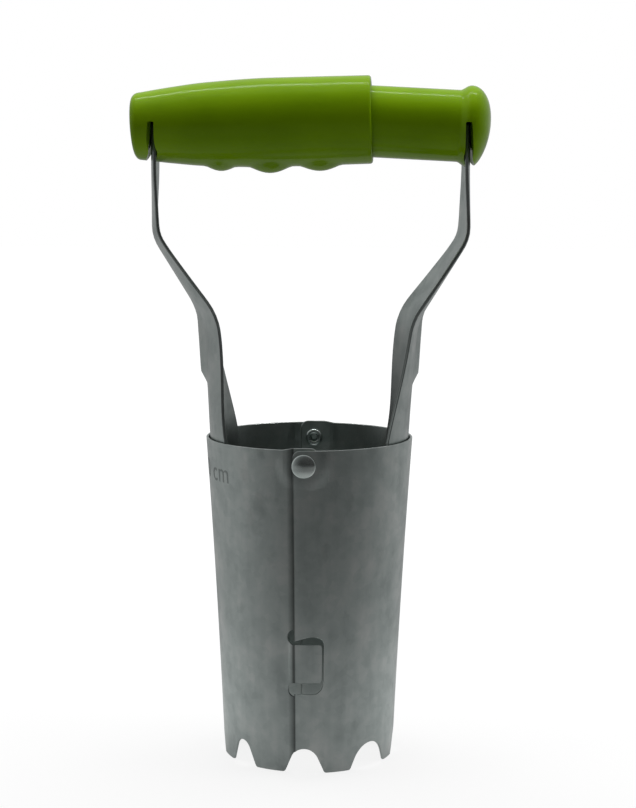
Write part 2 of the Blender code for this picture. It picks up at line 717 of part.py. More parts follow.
def combine(body, tool, operation):
    """Join a tool to a body, or cut it out, and remove the tool."""
    change = body.modifiers.new(tool.name, "BOOLEAN")
    change.operation = operation
    change.object = tool
    graph = bpy.context.evaluated_depsgraph_get()
    result = bpy.data.meshes.new_from_object(body.evaluated_get(graph))
    body.modifiers.remove(change)
    old = body.data
    body.data = result
    bpy.data.meshes.remove(old)
    tool_mesh = tool.data
    bpy.data.objects.remove(tool, do_unlink=True)
    bpy.data.meshes.remove(tool_mesh)


def take_mesh(item):
    """The finished mesh of a Boolean body, whose object is removed."""
    shape = bmesh.new()
    shape.from_mesh(item.data)
    bmesh.ops.remove_doubles(shape, verts=shape.verts, dist=WELD_DISTANCE)
    bmesh.ops.dissolve_limit(shape, angle_limit=MOULDING_FLAT_ANGLE, verts=shape.verts, edges=shape.edges)
    old = item.data
    bpy.data.objects.remove(item, do_unlink=True)
    bpy.data.meshes.remove(old)
    return finish_mesh("moulding", shape)


def squeeze_angle():
    """How far the halves turn when the knob meets the sleeve's mouth."""
    rise = PIN_HEIGHT - RIVET_HEIGHT
    length = math.hypot(PIN_X, rise)
    at_rest = math.asin(PIN_X / length)
    closed = math.asin((PIN_X - SQUEEZE_STROKE / 2) / length)
    return 2 * (at_rest - closed)


def arm_slot_cutter(group, side, lean):
    """The slot that an arm enters a leaning grip moulding by, flared to the outside for the arm's turn."""
    half = ARM_SHEET / 2
    hollow = ARM_SECTION_RADIUS - math.sqrt(ARM_SECTION_RADIUS ** 2 - ARM_TOP_HALF ** 2)
    inner = PIN_X - half - hollow - ARM_TOP_HALF * math.sin(ARM_TOP_TWIST) - SLOT_SIDE_GAP
    outer = PIN_X + half + SLOT_SIDE_GAP
    top = PIN_HEIGHT + SHOULDER_RISE + SLOT_TOP_GAP
    depth = SLEEVE_FULL_RADIUS + CUT_OVERRUN
    flare = depth * math.tan(squeeze_angle() / 2 - lean + SLOT_TURN_SPARE)
    corners = [
        (inner, top, SLOT_SIDE_GAP),
        (inner, top - depth, 0),
        (outer + flare, top - depth, 0),
        (outer, top, SLOT_SIDE_GAP),
    ]
    width = 2 * (SLEEVE_FULL_RADIUS + CUT_OVERRUN)
    outline = [(side * across, along) for across, along in rounded(corners)]
    shape = mesh_from_curve("slot", [outline], width)
    bmesh.ops.transform(shape, matrix=Matrix.Rotation(math.pi / 2, 4, "X"), verts=shape.verts)
    return solid_object("slot_cutter", shape, group)


def slant_end(shape, side, start, slant):
    """Lean a moulding's closed end, so that its lower edge is further in than its upper edge."""
    span = PIN_X + GRIP_END_BEYOND_PIN - start
    for vert in shape.verts:
        share = smoothstep((side * vert.co.x - start) / span)
        vert.co.x += side * (vert.co.z - PIN_HEIGHT) * math.tan(slant) * share


def lean_from_pin(shape, side, lean):
    """Turn a level moulding about its pin, so that its open end is higher."""
    pin = Vector((side * PIN_X, 0, PIN_HEIGHT))
    turn = Matrix.Rotation(side * lean, 4, "Y")
    bmesh.ops.transform(shape, matrix=Matrix.Translation(pin) @ turn @ Matrix.Translation(-pin), verts=shape.verts)
    return shape


def sleeve_skin():
    """Outer shape of the sleeve, before its bore and slot."""
    corner_x = SLEEVE_END_X + SLEEVE_END_DOME + SLEEVE_END_CORNER
    flat_radius = SLEEVE_END_RADIUS - SLEEVE_END_CORNER
    dome_radius = (flat_radius ** 2 + SLEEVE_END_DOME ** 2) / (2 * SLEEVE_END_DOME)
    lip = SLEEVE_LIP_RADIUS
    lip_centre = (SLEEVE_MOUTH_RADIUS - lip, SLEEVE_MOUTH_X - lip)
    stations = [
        (corner_x, SLEEVE_END_RADIUS),
        (SLEEVE_END_X + SLEEVE_WAIST_INSIDE_END, SLEEVE_WAIST_RADIUS),
        (SLEEVE_END_X + SLEEVE_SWELL_INSIDE_END, SLEEVE_SWELL_RADIUS),
        (SLEEVE_END_X + SLEEVE_FULL_INSIDE_END, SLEEVE_FULL_RADIUS),
        (SLEEVE_MOUTH_X - lip, SLEEVE_MOUTH_RADIUS),
    ]
    profile = [(0, SLEEVE_MOUTH_X)]
    profile += arc_profile(*lip_centre, lip, math.pi / 2, 0)[:-1]
    profile += list(reversed(smooth_line(stations, STATION_STEPS)))
    corner = arc_profile(flat_radius, corner_x, SLEEVE_END_CORNER, 0, -math.pi / 2)
    profile += corner[1:]
    half_angle = math.asin(flat_radius / dome_radius)
    for step in range(1, END_DOME_STEPS + 1):
        angle = half_angle * (1 - step / END_DOME_STEPS)
        height = SLEEVE_END_X + dome_radius * (1 - math.cos(angle))
        profile.append((dome_radius * math.sin(angle), height))
    shape = lay_along_x(turned("sleeve_skin", profile, TURN_STEPS))
    slant_end(shape, -1, -corner_x, SLEEVE_END_SLANT)
    return lean_from_pin(shape, -1, SLEEVE_LEAN)


def finger_bump(inside_end, half_length, stand_out):
    """One of the three lumps under the sleeve that lie between the fingers."""
    shape = bmesh.new()
    bmesh.ops.create_uvsphere(shape, u_segments=BUMP_STEPS, v_segments=BUMP_STEPS // 2, radius=1)
    bmesh.ops.scale(shape, vec=(half_length, BUMP_HALF_WIDTH, BUMP_HALF_HEIGHT), verts=shape.verts)
    skin = SLEEVE_FULL_RADIUS
    if inside_end < SLEEVE_FULL_INSIDE_END:
        run = SLEEVE_FULL_INSIDE_END - SLEEVE_SWELL_INSIDE_END
        share = (inside_end - SLEEVE_SWELL_INSIDE_END) / run
        skin = SLEEVE_SWELL_RADIUS + (SLEEVE_FULL_RADIUS - SLEEVE_SWELL_RADIUS) * share
    bottom = PIN_HEIGHT - skin - stand_out
    bmesh.ops.translate(shape, vec=(SLEEVE_END_X + inside_end, 0, bottom + BUMP_HALF_HEIGHT), verts=shape.verts)
    return lean_from_pin(shape, -1, SLEEVE_LEAN)


def sleeve_bore():
    """Hollow of the sleeve: the plunger's loose bore, a cone, the spring's guide and the tongue's pocket."""
    loose_bore = PLUNGER_RADIUS + BORE_LOOSENESS
    loose_end = PLUNGER_INNER_X - BORE_SPARE
    inner_end = loose_end - SQUEEZE_STROKE
    pocket_start = -PIN_X + POCKET_INSIDE_PIN
    pocket_end = -PIN_X - POCKET_BEYOND_PIN
    profile = [
        (0, SLEEVE_MOUTH_X + CUT_OVERRUN),
        (loose_bore, SLEEVE_MOUTH_X + CUT_OVERRUN),
        (loose_bore, loose_end),
        (PLUNGER_RADIUS + SLIDE_GAP, inner_end),
        (GUIDE_RADIUS, inner_end - BORE_CONE),
        (GUIDE_RADIUS, pocket_start),
        (POCKET_RADIUS, pocket_start),
        (POCKET_RADIUS, pocket_end),
        (0, pocket_end),
    ]
    return lean_from_pin(lay_along_x(turned("sleeve_bore", profile, TURN_STEPS)), -1, SLEEVE_LEAN)


def make_sleeve(cutters):
    """The sleeve's mesh."""
    body = solid_object("sleeve_body", sleeve_skin(), cutters)
    for inside_end, half_length, stand_out in zip(BUMPS_INSIDE_END, BUMP_HALF_LENGTHS, BUMP_STAND_OUTS):
        combine(body, solid_object("bump", finger_bump(inside_end, half_length, stand_out), cutters), "UNION")
    combine(body, solid_object("bore", sleeve_bore(), cutters), "DIFFERENCE")
    combine(body, arm_slot_cutter(cutters, -1, SLEEVE_LEAN), "DIFFERENCE")
    return take_mesh(body)


def plunger_skin():
    """Outer shape of the plunger: a tube with a flared, domed knob."""
    full_x = KNOB_END_X - KNOB_DOME_DEPTH
    profile = [(0, KNOB_END_X)]
    for step in range(1, KNOB_DOME_STEPS + 1):
        angle = math.pi / 2 * step / KNOB_DOME_STEPS
        profile.append((KNOB_RADIUS * math.sin(angle), full_x + KNOB_DOME_DEPTH * math.cos(angle)))
    for along, out in KNOB_FLARE_SHARES:
        radius = PLUNGER_RADIUS + (KNOB_RADIUS - PLUNGER_RADIUS) * out
        profile.append((radius, KNOB_SHOULDER_X + KNOB_FLARE * along))
    profile += [
        (PLUNGER_RADIUS, PLUNGER_INNER_X + PLUNGER_END_CHAMFER),
        (PLUNGER_RADIUS - PLUNGER_END_CHAMFER, PLUNGER_INNER_X),
        (0, PLUNGER_INNER_X),
    ]
    shape = lay_along_x(turned("plunger_skin", profile, TURN_STEPS))
    slant_end(shape, 1, full_x, KNOB_SLANT)
    return lean_from_pin(shape, 1, PLUNGER_DROOP)


def plunger_bore():
    """Hollow of the plunger: its bore, a cone and the tongue's pocket."""
    bore = PLUNGER_RADIUS - PLUNGER_WALL
    pocket_start = PIN_X - POCKET_INSIDE_PIN
    pocket_end = PIN_X + POCKET_BEYOND_PIN
    profile = [
        (0, pocket_end),
        (POCKET_RADIUS, pocket_end),
        (POCKET_RADIUS, pocket_start),
        (bore, pocket_start - BORE_CONE),
        (bore, PLUNGER_INNER_X - CUT_OVERRUN),
        (0, PLUNGER_INNER_X - CUT_OVERRUN),
    ]
    return lean_from_pin(lay_along_x(turned("plunger_bore", profile, TURN_STEPS)), 1, PLUNGER_DROOP)


def make_plunger(cutters):
    """The plunger's mesh."""
    body = solid_object("plunger_body", plunger_skin(), cutters)
    combine(body, solid_object("bore", plunger_bore(), cutters), "DIFFERENCE")
    combine(body, arm_slot_cutter(cutters, 1, PLUNGER_DROOP), "DIFFERENCE")
    return take_mesh(body)


def make_rivet():
    """A tubular rivet along Y, for the front: its head is outside and its rolled tail inside."""
    outside = shell_radius(RIVET_HEIGHT) + LAYER_PITCH / 2
    inside = outside - LAYER_PITCH - SHELL_SHEET
    head_base = outside + SEAT_GAP
    collar_top = inside - SEAT_GAP
    collar_end = collar_top - RIVET_COLLAR_LENGTH
    dome_radius = (RIVET_HEAD_RADIUS ** 2 + RIVET_HEAD_DOME ** 2) / (2 * RIVET_HEAD_DOME)
    half_angle = math.asin(RIVET_HEAD_RADIUS / dome_radius)
    dome_centre = head_base + RIVET_HEAD_EDGE + RIVET_HEAD_DOME - dome_radius
    profile = []
    for step in range(HEAD_DOME_STEPS + 1):
        angle = half_angle * step / HEAD_DOME_STEPS
        profile.append((dome_radius * math.sin(angle), dome_centre + dome_radius * math.cos(angle)))
    roll = RIVET_COLLAR_LENGTH / 2
    profile += [(RIVET_HEAD_RADIUS, head_base), (RIVET_SHANK_RADIUS, head_base), (RIVET_SHANK_RADIUS, collar_top)]
    profile += arc_profile(RIVET_COLLAR_RADIUS - roll, collar_end + roll, roll, math.pi / 2, -math.pi / 2)
    profile += [
        (RIVET_HOLLOW_RADIUS, collar_end + roll / 2),
        (RIVET_HOLLOW_RADIUS, collar_end + RIVET_HOLLOW_DEPTH),
        (0, collar_end + RIVET_HOLLOW_DEPTH),
    ]
    shape = turned("rivet", profile, RIVET_STEPS)
    bmesh.ops.transform(shape, matrix=Matrix.Rotation(math.pi / 2, 4, "X"), verts=shape.verts)
    bmesh.ops.translate(shape, vec=(0, 0, RIVET_HEIGHT), verts=shape.verts)
    return finish_mesh("tubular_rivet", shape)


def spring_points():
    """The spring's wire between the two arms, with closer turns at each end."""
    hollow = ARM_SECTION_RADIUS - math.sqrt(ARM_SECTION_RADIUS ** 2 - SPRING_RADIUS ** 2)
    lean = SPRING_RADIUS * math.sin(ARM_TOP_TWIST)
    end = PIN_X - ARM_SHEET / 2 - hollow - lean - SEAT_GAP - SPRING_WIRE / 2
    middle = end - SPRING_END_TURNS * SPRING_END_PITCH
    turns = SPRING_TURNS + 2 * SPRING_END_TURNS
    count = round(turns * POINTS_PER_TURN)
    points = []
    for step in range(count + 1):
        turn = turns * step / count
        if turn < SPRING_END_TURNS:
            along = -end + turn * SPRING_END_PITCH
        elif turn > turns - SPRING_END_TURNS:
            along = end - (turns - turn) * SPRING_END_PITCH
        else:
            along = -middle + 2 * middle * (turn - SPRING_END_TURNS) / SPRING_TURNS
        angle = 2 * math.pi * turn
        points.append(Vector((along, SPRING_RADIUS * math.cos(angle), PIN_HEIGHT + SPRING_RADIUS * math.sin(angle))))
    return points


def least_gap(points):
    """Least gap between turns of the wire that are half a turn or more apart."""
    skip = POINTS_PER_TURN // 2
    nearest = min((points[j] - points[i]).length for i in range(len(points)) for j in range(i + skip, len(points)))
    return nearest - SPRING_WIRE


def make_spring():
    """The spring's mesh, one unbroken wire."""
    points = spring_points()
    print("least gap between the spring's turns, mm:", round(least_gap(points) / MM, 3))
    curve = bpy.data.curves.new("spring_wire", "CURVE")
    curve.dimensions = "3D"
    curve.bevel_depth = SPRING_WIRE / 2
    curve.bevel_resolution = 1
    curve.use_fill_caps = True
    spline = curve.splines.new("POLY")
    spline.points.add(len(points) - 1)
    for point, place in zip(spline.points, points):
        point.co = (*place, 1)
    holder = bpy.data.objects.new("spring_wire", curve)
    bpy.context.scene.collection.objects.link(holder)
    graph = bpy.context.evaluated_depsgraph_get()
    mesh = bpy.data.meshes.new_from_object(holder.evaluated_get(graph))
    bpy.data.objects.remove(holder, do_unlink=True)
    bpy.data.curves.remove(curve)
    shape = bmesh.new()
    shape.from_mesh(mesh)
    bpy.data.meshes.remove(mesh)
    bmesh.ops.remove_doubles(shape, verts=shape.verts, dist=WELD_DISTANCE)
    return finish_mesh("compression_spring", lean_from_pin(shape, -1, SPRING_LEAN))


def main():
    """Build the bulb planter."""
    clear_scene()
    planter = new_collection("bulb_planter")
    cutters = new_collection("cutters")
    steel = new_material(*STEEL)
    rivet_steel = new_material(*RIVET_STEEL)
    spring_steel = new_material(*SPRING_STEEL)
    green = new_material(*GREEN_PLASTIC)

    left_half = add_pivot("left_half", (0, 0, RIVET_HEIGHT), planter)
    right_half = add_pivot("right_half", (0, 0, RIVET_HEIGHT), planter)
    sleeve_pin = add_pivot("sleeve_pin", (-PIN_X, 0, PIN_HEIGHT), planter, left_half)
    plunger_pin = add_pivot("plunger_pin", (PIN_X, 0, PIN_HEIGHT), planter, right_half)

    arm = make_arm()
    rivet = make_rivet()
    right_shell = make_shell("notched_shell", tabbed=False, notched=True)
    left_shell = make_shell("tabbed_shell", tabbed=True, notched=False)
    add_piece("right_shell", right_shell, steel, planter, right_half)
    add_piece("left_shell", left_shell, steel, planter, left_half, math.pi)
    add_piece("right_arm", arm, steel, planter, right_half)
    add_piece("left_arm", arm, steel, planter, left_half, math.pi)
    add_piece("front_rivet", rivet, rivet_steel, planter, left_half)
    add_piece("back_rivet", rivet, rivet_steel, planter, left_half, math.pi)
    add_piece("sleeve", make_sleeve(cutters), green, planter, sleeve_pin)
    add_piece("plunger", make_plunger(cutters), green, planter, plunger_pin)
    add_piece("return_spring", make_spring(), spring_steel, planter, sleeve_pin)


main()
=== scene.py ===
"""Bulb planter: its looks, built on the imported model. Metres, +Z up, the front is -Y."""
import math

import bmesh
import bpy
from mathutils import Matrix, Vector


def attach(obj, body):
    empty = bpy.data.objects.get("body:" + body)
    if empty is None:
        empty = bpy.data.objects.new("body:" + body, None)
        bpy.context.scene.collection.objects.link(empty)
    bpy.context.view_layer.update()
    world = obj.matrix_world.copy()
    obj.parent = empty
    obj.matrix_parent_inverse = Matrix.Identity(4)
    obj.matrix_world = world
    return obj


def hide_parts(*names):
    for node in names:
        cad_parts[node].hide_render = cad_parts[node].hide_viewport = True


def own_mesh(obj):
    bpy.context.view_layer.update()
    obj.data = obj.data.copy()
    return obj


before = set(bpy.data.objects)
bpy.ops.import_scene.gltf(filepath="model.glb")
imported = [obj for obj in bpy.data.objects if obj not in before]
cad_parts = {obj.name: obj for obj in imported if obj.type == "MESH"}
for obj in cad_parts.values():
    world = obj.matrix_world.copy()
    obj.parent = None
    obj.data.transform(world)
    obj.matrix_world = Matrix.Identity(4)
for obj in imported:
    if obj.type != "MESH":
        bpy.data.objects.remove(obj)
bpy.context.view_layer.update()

MM = 0.001
WELD_DISTANCE = 0.001 * MM

# Camera: where it stands, how it is turned, and its lens
CAMERA_PLACE = (33.1 * MM, -640.1 * MM, 200.0 * MM)
CAMERA_TILT = math.radians(82.87)
CAMERA_TURN = math.radians(2.70)
CAMERA_ROLL = math.radians(0.16)
CAMERA_LENS = 84.82
CAMERA_NEAR = 10 * MM

# Shells: sizes of the sheet tube
SHELL_HEIGHT = 109.0 * MM
SHELL_TOP_RADIUS = 35.0 * MM
SHELL_BOTTOM_RADIUS = 29.0 * MM
SHELL_HOLLOW = 0.4 * MM
SHELL_SHEET = 0.8 * MM
SEAT_GAP = 0.35 * MM
LAYER_PITCH = SHELL_SHEET + SEAT_GAP
SEAM_ANGLE = math.radians(6.0)
EAR_ANGLE = math.radians(8.0)
EAR_RISE = 0.6 * MM
EAR_RISE_ANGLE = math.radians(12.0)
RIM_CORNER_RADIUS = 2.6 * MM
SHELL_EDGE = 0.14 * MM

# Shells: toothed edge, whose first and last arches are cut by the sheet's side edges
ARCH_CENTRES = tuple(math.radians(angle) for angle in (0.0, 47.0, 90.0, 133.3, 180.0))
ARCH_HALF_ANGLES = tuple(math.radians(angle) for angle in (13.3, 15.9, 13.5, 11.8, 13.3))
ARCH_HEIGHT = 8.4 * MM
ARCH_SLOPE = math.radians(28.0)
TOOTH_CORNER_RADIUS = 1.3 * MM

# Shells: the tab of the left one lies in the notch of the right one
TAB_LOW = 31.0 * MM
TAB_HIGH = 44.0 * MM
TAB_TIP_ANGLE = math.radians(11.1)
TAB_CORNER_RADIUS = 1.3 * MM
TAB_ROOT_ANGLE = math.radians(10.2)
TAB_RISE_ANGLE = math.radians(3.6)
TAB_SLOT_WIDTH = 4.9 * MM
TAB_SLOT_END_SHARE = 0.49
NOTCH_LOW = 27.1 * MM
NOTCH_HIGH = 45.2 * MM
NOTCH_PEAK = 47.0 * MM
NOTCH_PEAK_ANGLE = math.radians(5.2)
NOTCH_CORNER = 45.6 * MM
NOTCH_END_ANGLE = math.radians(11.9)
NOTCH_LOW_RADIUS = 3.8 * MM
NOTCH_PEAK_RADIUS = 6.0 * MM
NOTCH_CORNER_RADIUS = 2.4 * MM

# Shells: stamped depth mark
MARK_TEXT = "10 cm"
MARK_SIZE = 9.4 * MM
MARK_SPACING_SHARE = 1.1
MARK_RELIEF = 0.03 * MM
MARK_END_ANGLE = math.radians(132.0)
MARK_BASELINE = 95.9 * MM

# Rivets
RIVET_BELOW_RIM = 5.1 * MM
RIVET_HEIGHT = SHELL_HEIGHT - RIVET_BELOW_RIM
RIVET_SHANK_RADIUS = 2.1 * MM
RIVET_HOLE_RADIUS = RIVET_SHANK_RADIUS + SEAT_GAP
RIVET_HEAD_RADIUS = 3.9 * MM
RIVET_HEAD_DOME = 1.1 * MM
RIVET_HEAD_EDGE = 0.35 * MM
RIVET_HEAD_GAP = 0.32 * MM
RIVET_DOME_SHARE = 0.96
RIVET_COLLAR_RADIUS = 3.0 * MM
RIVET_COLLAR_LENGTH = 1.8 * MM
RIVET_COLLAR_GAP = 0.26 * MM
RIVET_HOLLOW_RADIUS = 1.35 * MM
RIVET_HOLLOW_DEPTH = 3.0 * MM
RIVET_HOLLOW_CORNER = 0.4 * MM
RIVET_FLARE_WIDTH = 0.25 * MM
RIVET_FLARE_DEPTH = 0.15 * MM

# Shells: the flats pressed round the rivets
FLAT_RADIUS = 4.9 * MM
FLAT_BLEND = 4.6 * MM
FLAT_LEAN_SHARE = 0.6

# Arms: the sheet, its route from the foot to the pin, half widths across it, its rib and its boss
ARM_SHEET = 1.2 * MM
ARM_EDGE = 0.22 * MM
ARM_BELOW_RIM = 25.5 * MM
PIN_X = 52.65 * MM
PIN_HEIGHT = 213.1 * MM
LOWER_BEND_HEIGHT = 148.6 * MM
LOWER_BEND_RADIUS = 18.0 * MM
UPPER_BEND_DROP = 36.8 * MM
UPPER_BEND_HEIGHT = PIN_HEIGHT - UPPER_BEND_DROP
UPPER_BEND_RADIUS = 13.0 * MM
ARM_SECTION_RADIUS = 27.0 * MM
ARM_TWIST = math.radians(10.0)
ARM_TOP_TWIST = math.radians(3.0)
TWIST_END_SHARE = 0.7
ARM_FOOT_HALF = 21.2 * MM
ARM_FOOT_CORNER = 5.0 * MM
ARM_BEND_HALF = 13.8 * MM
ARM_NECK_HALF = 8.8 * MM
ARM_TOP_HALF = 7.6 * MM
ARM_NECK_RUN = 7.0 * MM
ARM_EDGE_ROUNDING = 14.0 * MM
SHOULDER_RISE = 0.8 * MM
TONGUE_HALF = 4.6 * MM
TONGUE_RISE = 6.4 * MM
TONGUE_CORNER = 2.6 * MM
SHOULDER_CORNER = 0.9 * MM
RIB_HEIGHT = 1.9 * MM
RIB_HALF_WIDTH = 4.6 * MM
RIB_LOW = 126.5 * MM
RIB_HIGH = 156.5 * MM
RIB_LOW_BLEND = 5.0 * MM
RIB_HIGH_BLEND = 12.0 * MM
BOSS_RADIUS = 4.0 * MM
BOSS_HEIGHT = 1.8 * MM
BOSS_SLOPE_SHARE = 0.67

# Grip
GRIP_END_BEYOND_PIN = 7.3 * MM
KNOB_SHOULDER_INSIDE_PIN = 3.4 * MM
KNOB_SHOULDER_X = PIN_X - KNOB_SHOULDER_INSIDE_PIN
KNOB_SHOULDER_GAP = 0.4 * MM
SQUEEZE_STROKE = 28.15 * MM
SLEEVE_END_X = -PIN_X - GRIP_END_BEYOND_PIN
SLEEVE_MOUTH_X = KNOB_SHOULDER_X - SQUEEZE_STROKE - KNOB_SHOULDER_GAP
# Along the sleeve: distance inside its end, and its radius there
SLEEVE_STATIONS = (
    (3.2 * MM, 11.2 * MM),
    (13.8 * MM, 12.65 * MM),
    (25.2 * MM, 13.85 * MM),
    (47.2 * MM, 14.75 * MM),
)
SLEEVE_MOUTH_RADIUS = 14.6 * MM
SLEEVE_MOUTH_EDGE = 0.2 * MM
SLEEVE_LIP_RADIUS = 1.0 * MM
SLEEVE_END_DOME = 0.8 * MM
SLEEVE_END_CORNER = 2.4 * MM
SLEEVE_LEAN = math.radians(1.75)
SLEEVE_END_SLANT = math.radians(2.0)
# Bumps under the sleeve: distance inside its end, half length and how far each stands out
BUMPS = (
    (29.6 * MM, 4.6 * MM, 1.5 * MM),
    (46.3 * MM, 6.4 * MM, 2.0 * MM),
    (63.1 * MM, 6.3 * MM, 1.8 * MM),
)
BUMP_HALF_WIDTH = 6.0 * MM
BUMP_LENGTH_SPREAD_SHARE = 1.12
BUMP_WIDTH_SPREAD_SHARE = 1.15
BUMP_SOFTNESS = 1.35
PLUNGER_RADIUS = 11.85 * MM
PLUNGER_LAP = 19.8 * MM
PLUNGER_INNER_X = SLEEVE_MOUTH_X - PLUNGER_LAP
PLUNGER_END_CHAMFER = 0.8 * MM
PLUNGER_WALL = 2.1 * MM
PLUNGER_DROOP = math.radians(2.9)
KNOB_RADIUS = 13.5 * MM
KNOB_END_SPARE = 0.01 * MM
KNOB_END_X = PIN_X + GRIP_END_BEYOND_PIN - KNOB_END_SPARE
KNOB_DOME_DEPTH = 6.6 * MM
KNOB_SLANT = math.radians(3.1)
KNOB_FLARE = 2.0 * MM
KNOB_FLARE_EASE = 1.25
POCKET_RADIUS = 8.3 * MM
POCKET_BEYOND_PIN = 2.7 * MM
POCKET_INSIDE_PIN = 4.4 * MM
GUIDE_RADIUS = 9.0 * MM
BORE_LOOSENESS = 1.3 * MM
BORE_RADIUS = PLUNGER_RADIUS + BORE_LOOSENESS
BORE_TIGHT_RADIUS = PLUNGER_RADIUS + SEAT_GAP
BORE_CONE = 3.5 * MM
BORE_SPARE = 3.0 * MM

# Grip: the slots that the arms enter by
SLOT_GAP = 0.4 * MM
SLOT_FLARE = math.radians(7.2)
SLOT_REACH = 14.5 * MM
SLOT_DEPTH = 20.0 * MM
SLOT_STRAIGHTENING = 2.6 * MM
SLOT_STRAIGHT_SHARE = 0.55

# Return spring
SPRING_RADIUS = 5.4 * MM
SPRING_WIRE = 1.2 * MM
SPRING_TURNS = 14
SPRING_END_TURNS = 1.5
SPRING_END_PITCH = 1.75 * MM
SPRING_LEAN = math.radians(0.7)

# Steps of the modelled shapes
SHEET_STEP = math.radians(2.5)
SHEET_HEIGHT_STEP = 6.5 * MM
ARC_STEP = math.radians(9.0)
ARM_LENGTH_STEP = 2.0 * MM
ARM_WIDTH_STEP = 1.9 * MM
RIB_LINE_STEP = 0.7 * MM
FLAT_STEP = 1.2 * MM
PATH_STEP = 1.0 * MM
GRIP_STEP = 1.3 * MM
PLUNGER_STEP = 5.2 * MM
PROFILE_ARC_STEPS = 8
TAB_STEPS = 8
RIB_LINES = 7
SLOT_STEPS = 12
MOUTH_EDGE_STEPS = 3
SLEEVE_END_STEPS = 8
KNOB_DOME_STEPS = 16
KNOB_FLARE_STEPS = 12
TURN_STEPS = 96
RIVET_STEPS = 64
RIVET_DOME_STEPS = 12
RIVET_ROLL_STEPS = 14
WIRE_STEPS = 12
COIL_STEPS = 28
MARK_LINES_IN_SIZE = 16
MARK_LINES = 55

# Which faces of a blank are its flats, which slivers lie level, which edges stay crisp, and how much
# the broad faces lead the shading
FLAT_NORMAL = 0.99
SLIVER_ANGLE = math.radians(1.0)
SHARP_ANGLE = math.radians(40.0)
SLOT_SHARP_ANGLE = math.radians(32.0)
BROAD_FACE_WEIGHT = 80

# Finishes: in all of them a noise is its waves a metre, detail and roughness, a stretch is for X, Y and Z,
# a ramp is a value's low and high end and what they give, and a bump is its strength and depth
WHITE = (1.0, 1.0, 1.0, 1.0)

# Finishes: zinc-coated steel, whose tints are places on the colour ramp with what they do to the shade
ZINC_METALLIC = 0.92
ZINC_CLOUDS = (95.0, 4.0, 0.55)
ZINC_STREAKS = (260.0, 3.0, 0.5)
ZINC_STREAK_STRETCH = (1.0, 1.0, 0.09)
ZINC_SPANGLE_SCALE = 420.0
ZINC_CLOUD_SHARE = 0.62
ZINC_STREAK_SHARE = 0.3
ZINC_SPANGLE_SHARE = 0.08
ZINC_TINTS = (
    (0.32, (0.74, 0.83, 0.81)),
    (0.50, (0.90, 1.00, 0.97)),
    (0.68, (1.09, 1.15, 1.12)),
)
ZINC_STAINS = (52.0, 5.0, 0.6)
ZINC_STAIN_STRETCH = (1.0, 1.0, 0.75)
ZINC_STAIN_RAMP = (0.30, 0.40, 0.80, 1.0)
ZINC_GLOSS_RANGE = (0.35, 0.65)
ZINC_DULLER = 0.06
ZINC_GLOSSIER = 0.05
ZINC_GRAIN = (1500.0, 2.0, 0.5)
ZINC_GRAIN_STREAK_SHARE = 0.6
ZINC_BUMP = (0.12, 0.05 * MM)

# Finishes: how light and how rough each steel piece is
SHELL_SHADE = 0.50
SHELL_ROUGHNESS = 0.33
ARM_SHADE = 0.46
ARM_ROUGHNESS = 0.33
RIVET_SHADE = 0.74
RIVET_ROUGHNESS = 0.17
RIVET_SPANGLE = 0.5
MARK_SHADE = 0.32
MARK_ROUGHNESS = 0.5

# Finishes: painted shade beside the seams, by the distance past the upper layer's edge, and the light it
# leaves
SEAM_SHADE_START = -2.2 * MM
SEAM_SHADE_DEEP = -0.1 * MM
SEAM_EDGE_START = 0.15 * MM
SEAM_EDGE_END = 0.5 * MM
SEAM_LIGHT_SHARE = 0.3

# Finishes: painted dark reflection on the arms' inner faces, by height, and its share on the left arm and
# the right one
ARM_REFLECTION_LOW = 125 * MM
ARM_REFLECTION_HIGH = 155 * MM
ARM_REFLECTION_BLEND = 10 * MM
ARM_REFLECTION_SHARES = (0.2, 0.62)

# Finishes: lime-green plastic
GREEN_SPECULAR = 0.14
GREEN_CLOUDS = (60.0, 3.0, 0.5)
GREEN_FLOW = (140.0, 2.0, 0.5)
GREEN_FLOW_STRETCH = (0.12, 1.0, 1.0)
GREEN_CLOUD_SHARE = 0.5
GREEN_FLOW_SHARE = 0.5
GREEN_COLOURS = (
    (0.36, (0.178, 0.335, 0.001)),
    (0.50, (0.200, 0.370, 0.001)),
    (0.64, (0.220, 0.395, 0.002)),
)
GREEN_RUBBING = (700.0, 4.0, 0.6)
GREEN_GLOSS_RAMP = (0.35, 0.7, 0.11, 0.17)
GREEN_BUMP = (0.06, 0.04 * MM)

# Finishes: spring wire
WIRE_METALLIC = 0.95
WIRE_MARKS = (900.0, 3.0, 0.5)
WIRE_COLOURS = (
    (0.3, (0.10, 0.10, 0.11)),
    (0.7, (0.20, 0.20, 0.21)),
)
WIRE_GLOSS_RAMP = (0.3, 0.7, 0.28, 0.42)
WIRE_BUMP = (0.1, 0.03 * MM)

# Floor: its size and colour, and how light it is by the distance and the direction from the object
FLOOR_HALF_SIZE = 4.0
FLOOR_SHADE = 0.16
FLOOR_ROUGHNESS = 0.9
FLOOR_GLOW_RAMP = (0.12, 0.7, 0.83, 1.0)
FLOOR_NEAR_RAMP = (0.08, 0.21, 0.32, 0.0)
FLOOR_SIDE_RAMP = (-0.95, 0.3, 0.0, 0.32)
FLOOR_BACK = 0.97
FLOOR_LEFT = 0.04
FLOOR_LEFT_GROWTH = -0.85
FLOOR_LEFT_REACH = 0.45
FLOOR_BOUNCE = 0.24

# Room: how much the left and the back count as its light side, and how light it is there and overhead
ROOM_LEFT = 0.36
ROOM_BACK = 0.93
ROOM_WALL_RAMP = (-0.8, 0.4, 0.03, 0.5)
ROOM_CEILING_RAMP = (0.3, 0.95, 0.0, 0.04)
ROOM_LIGHT = 0.5

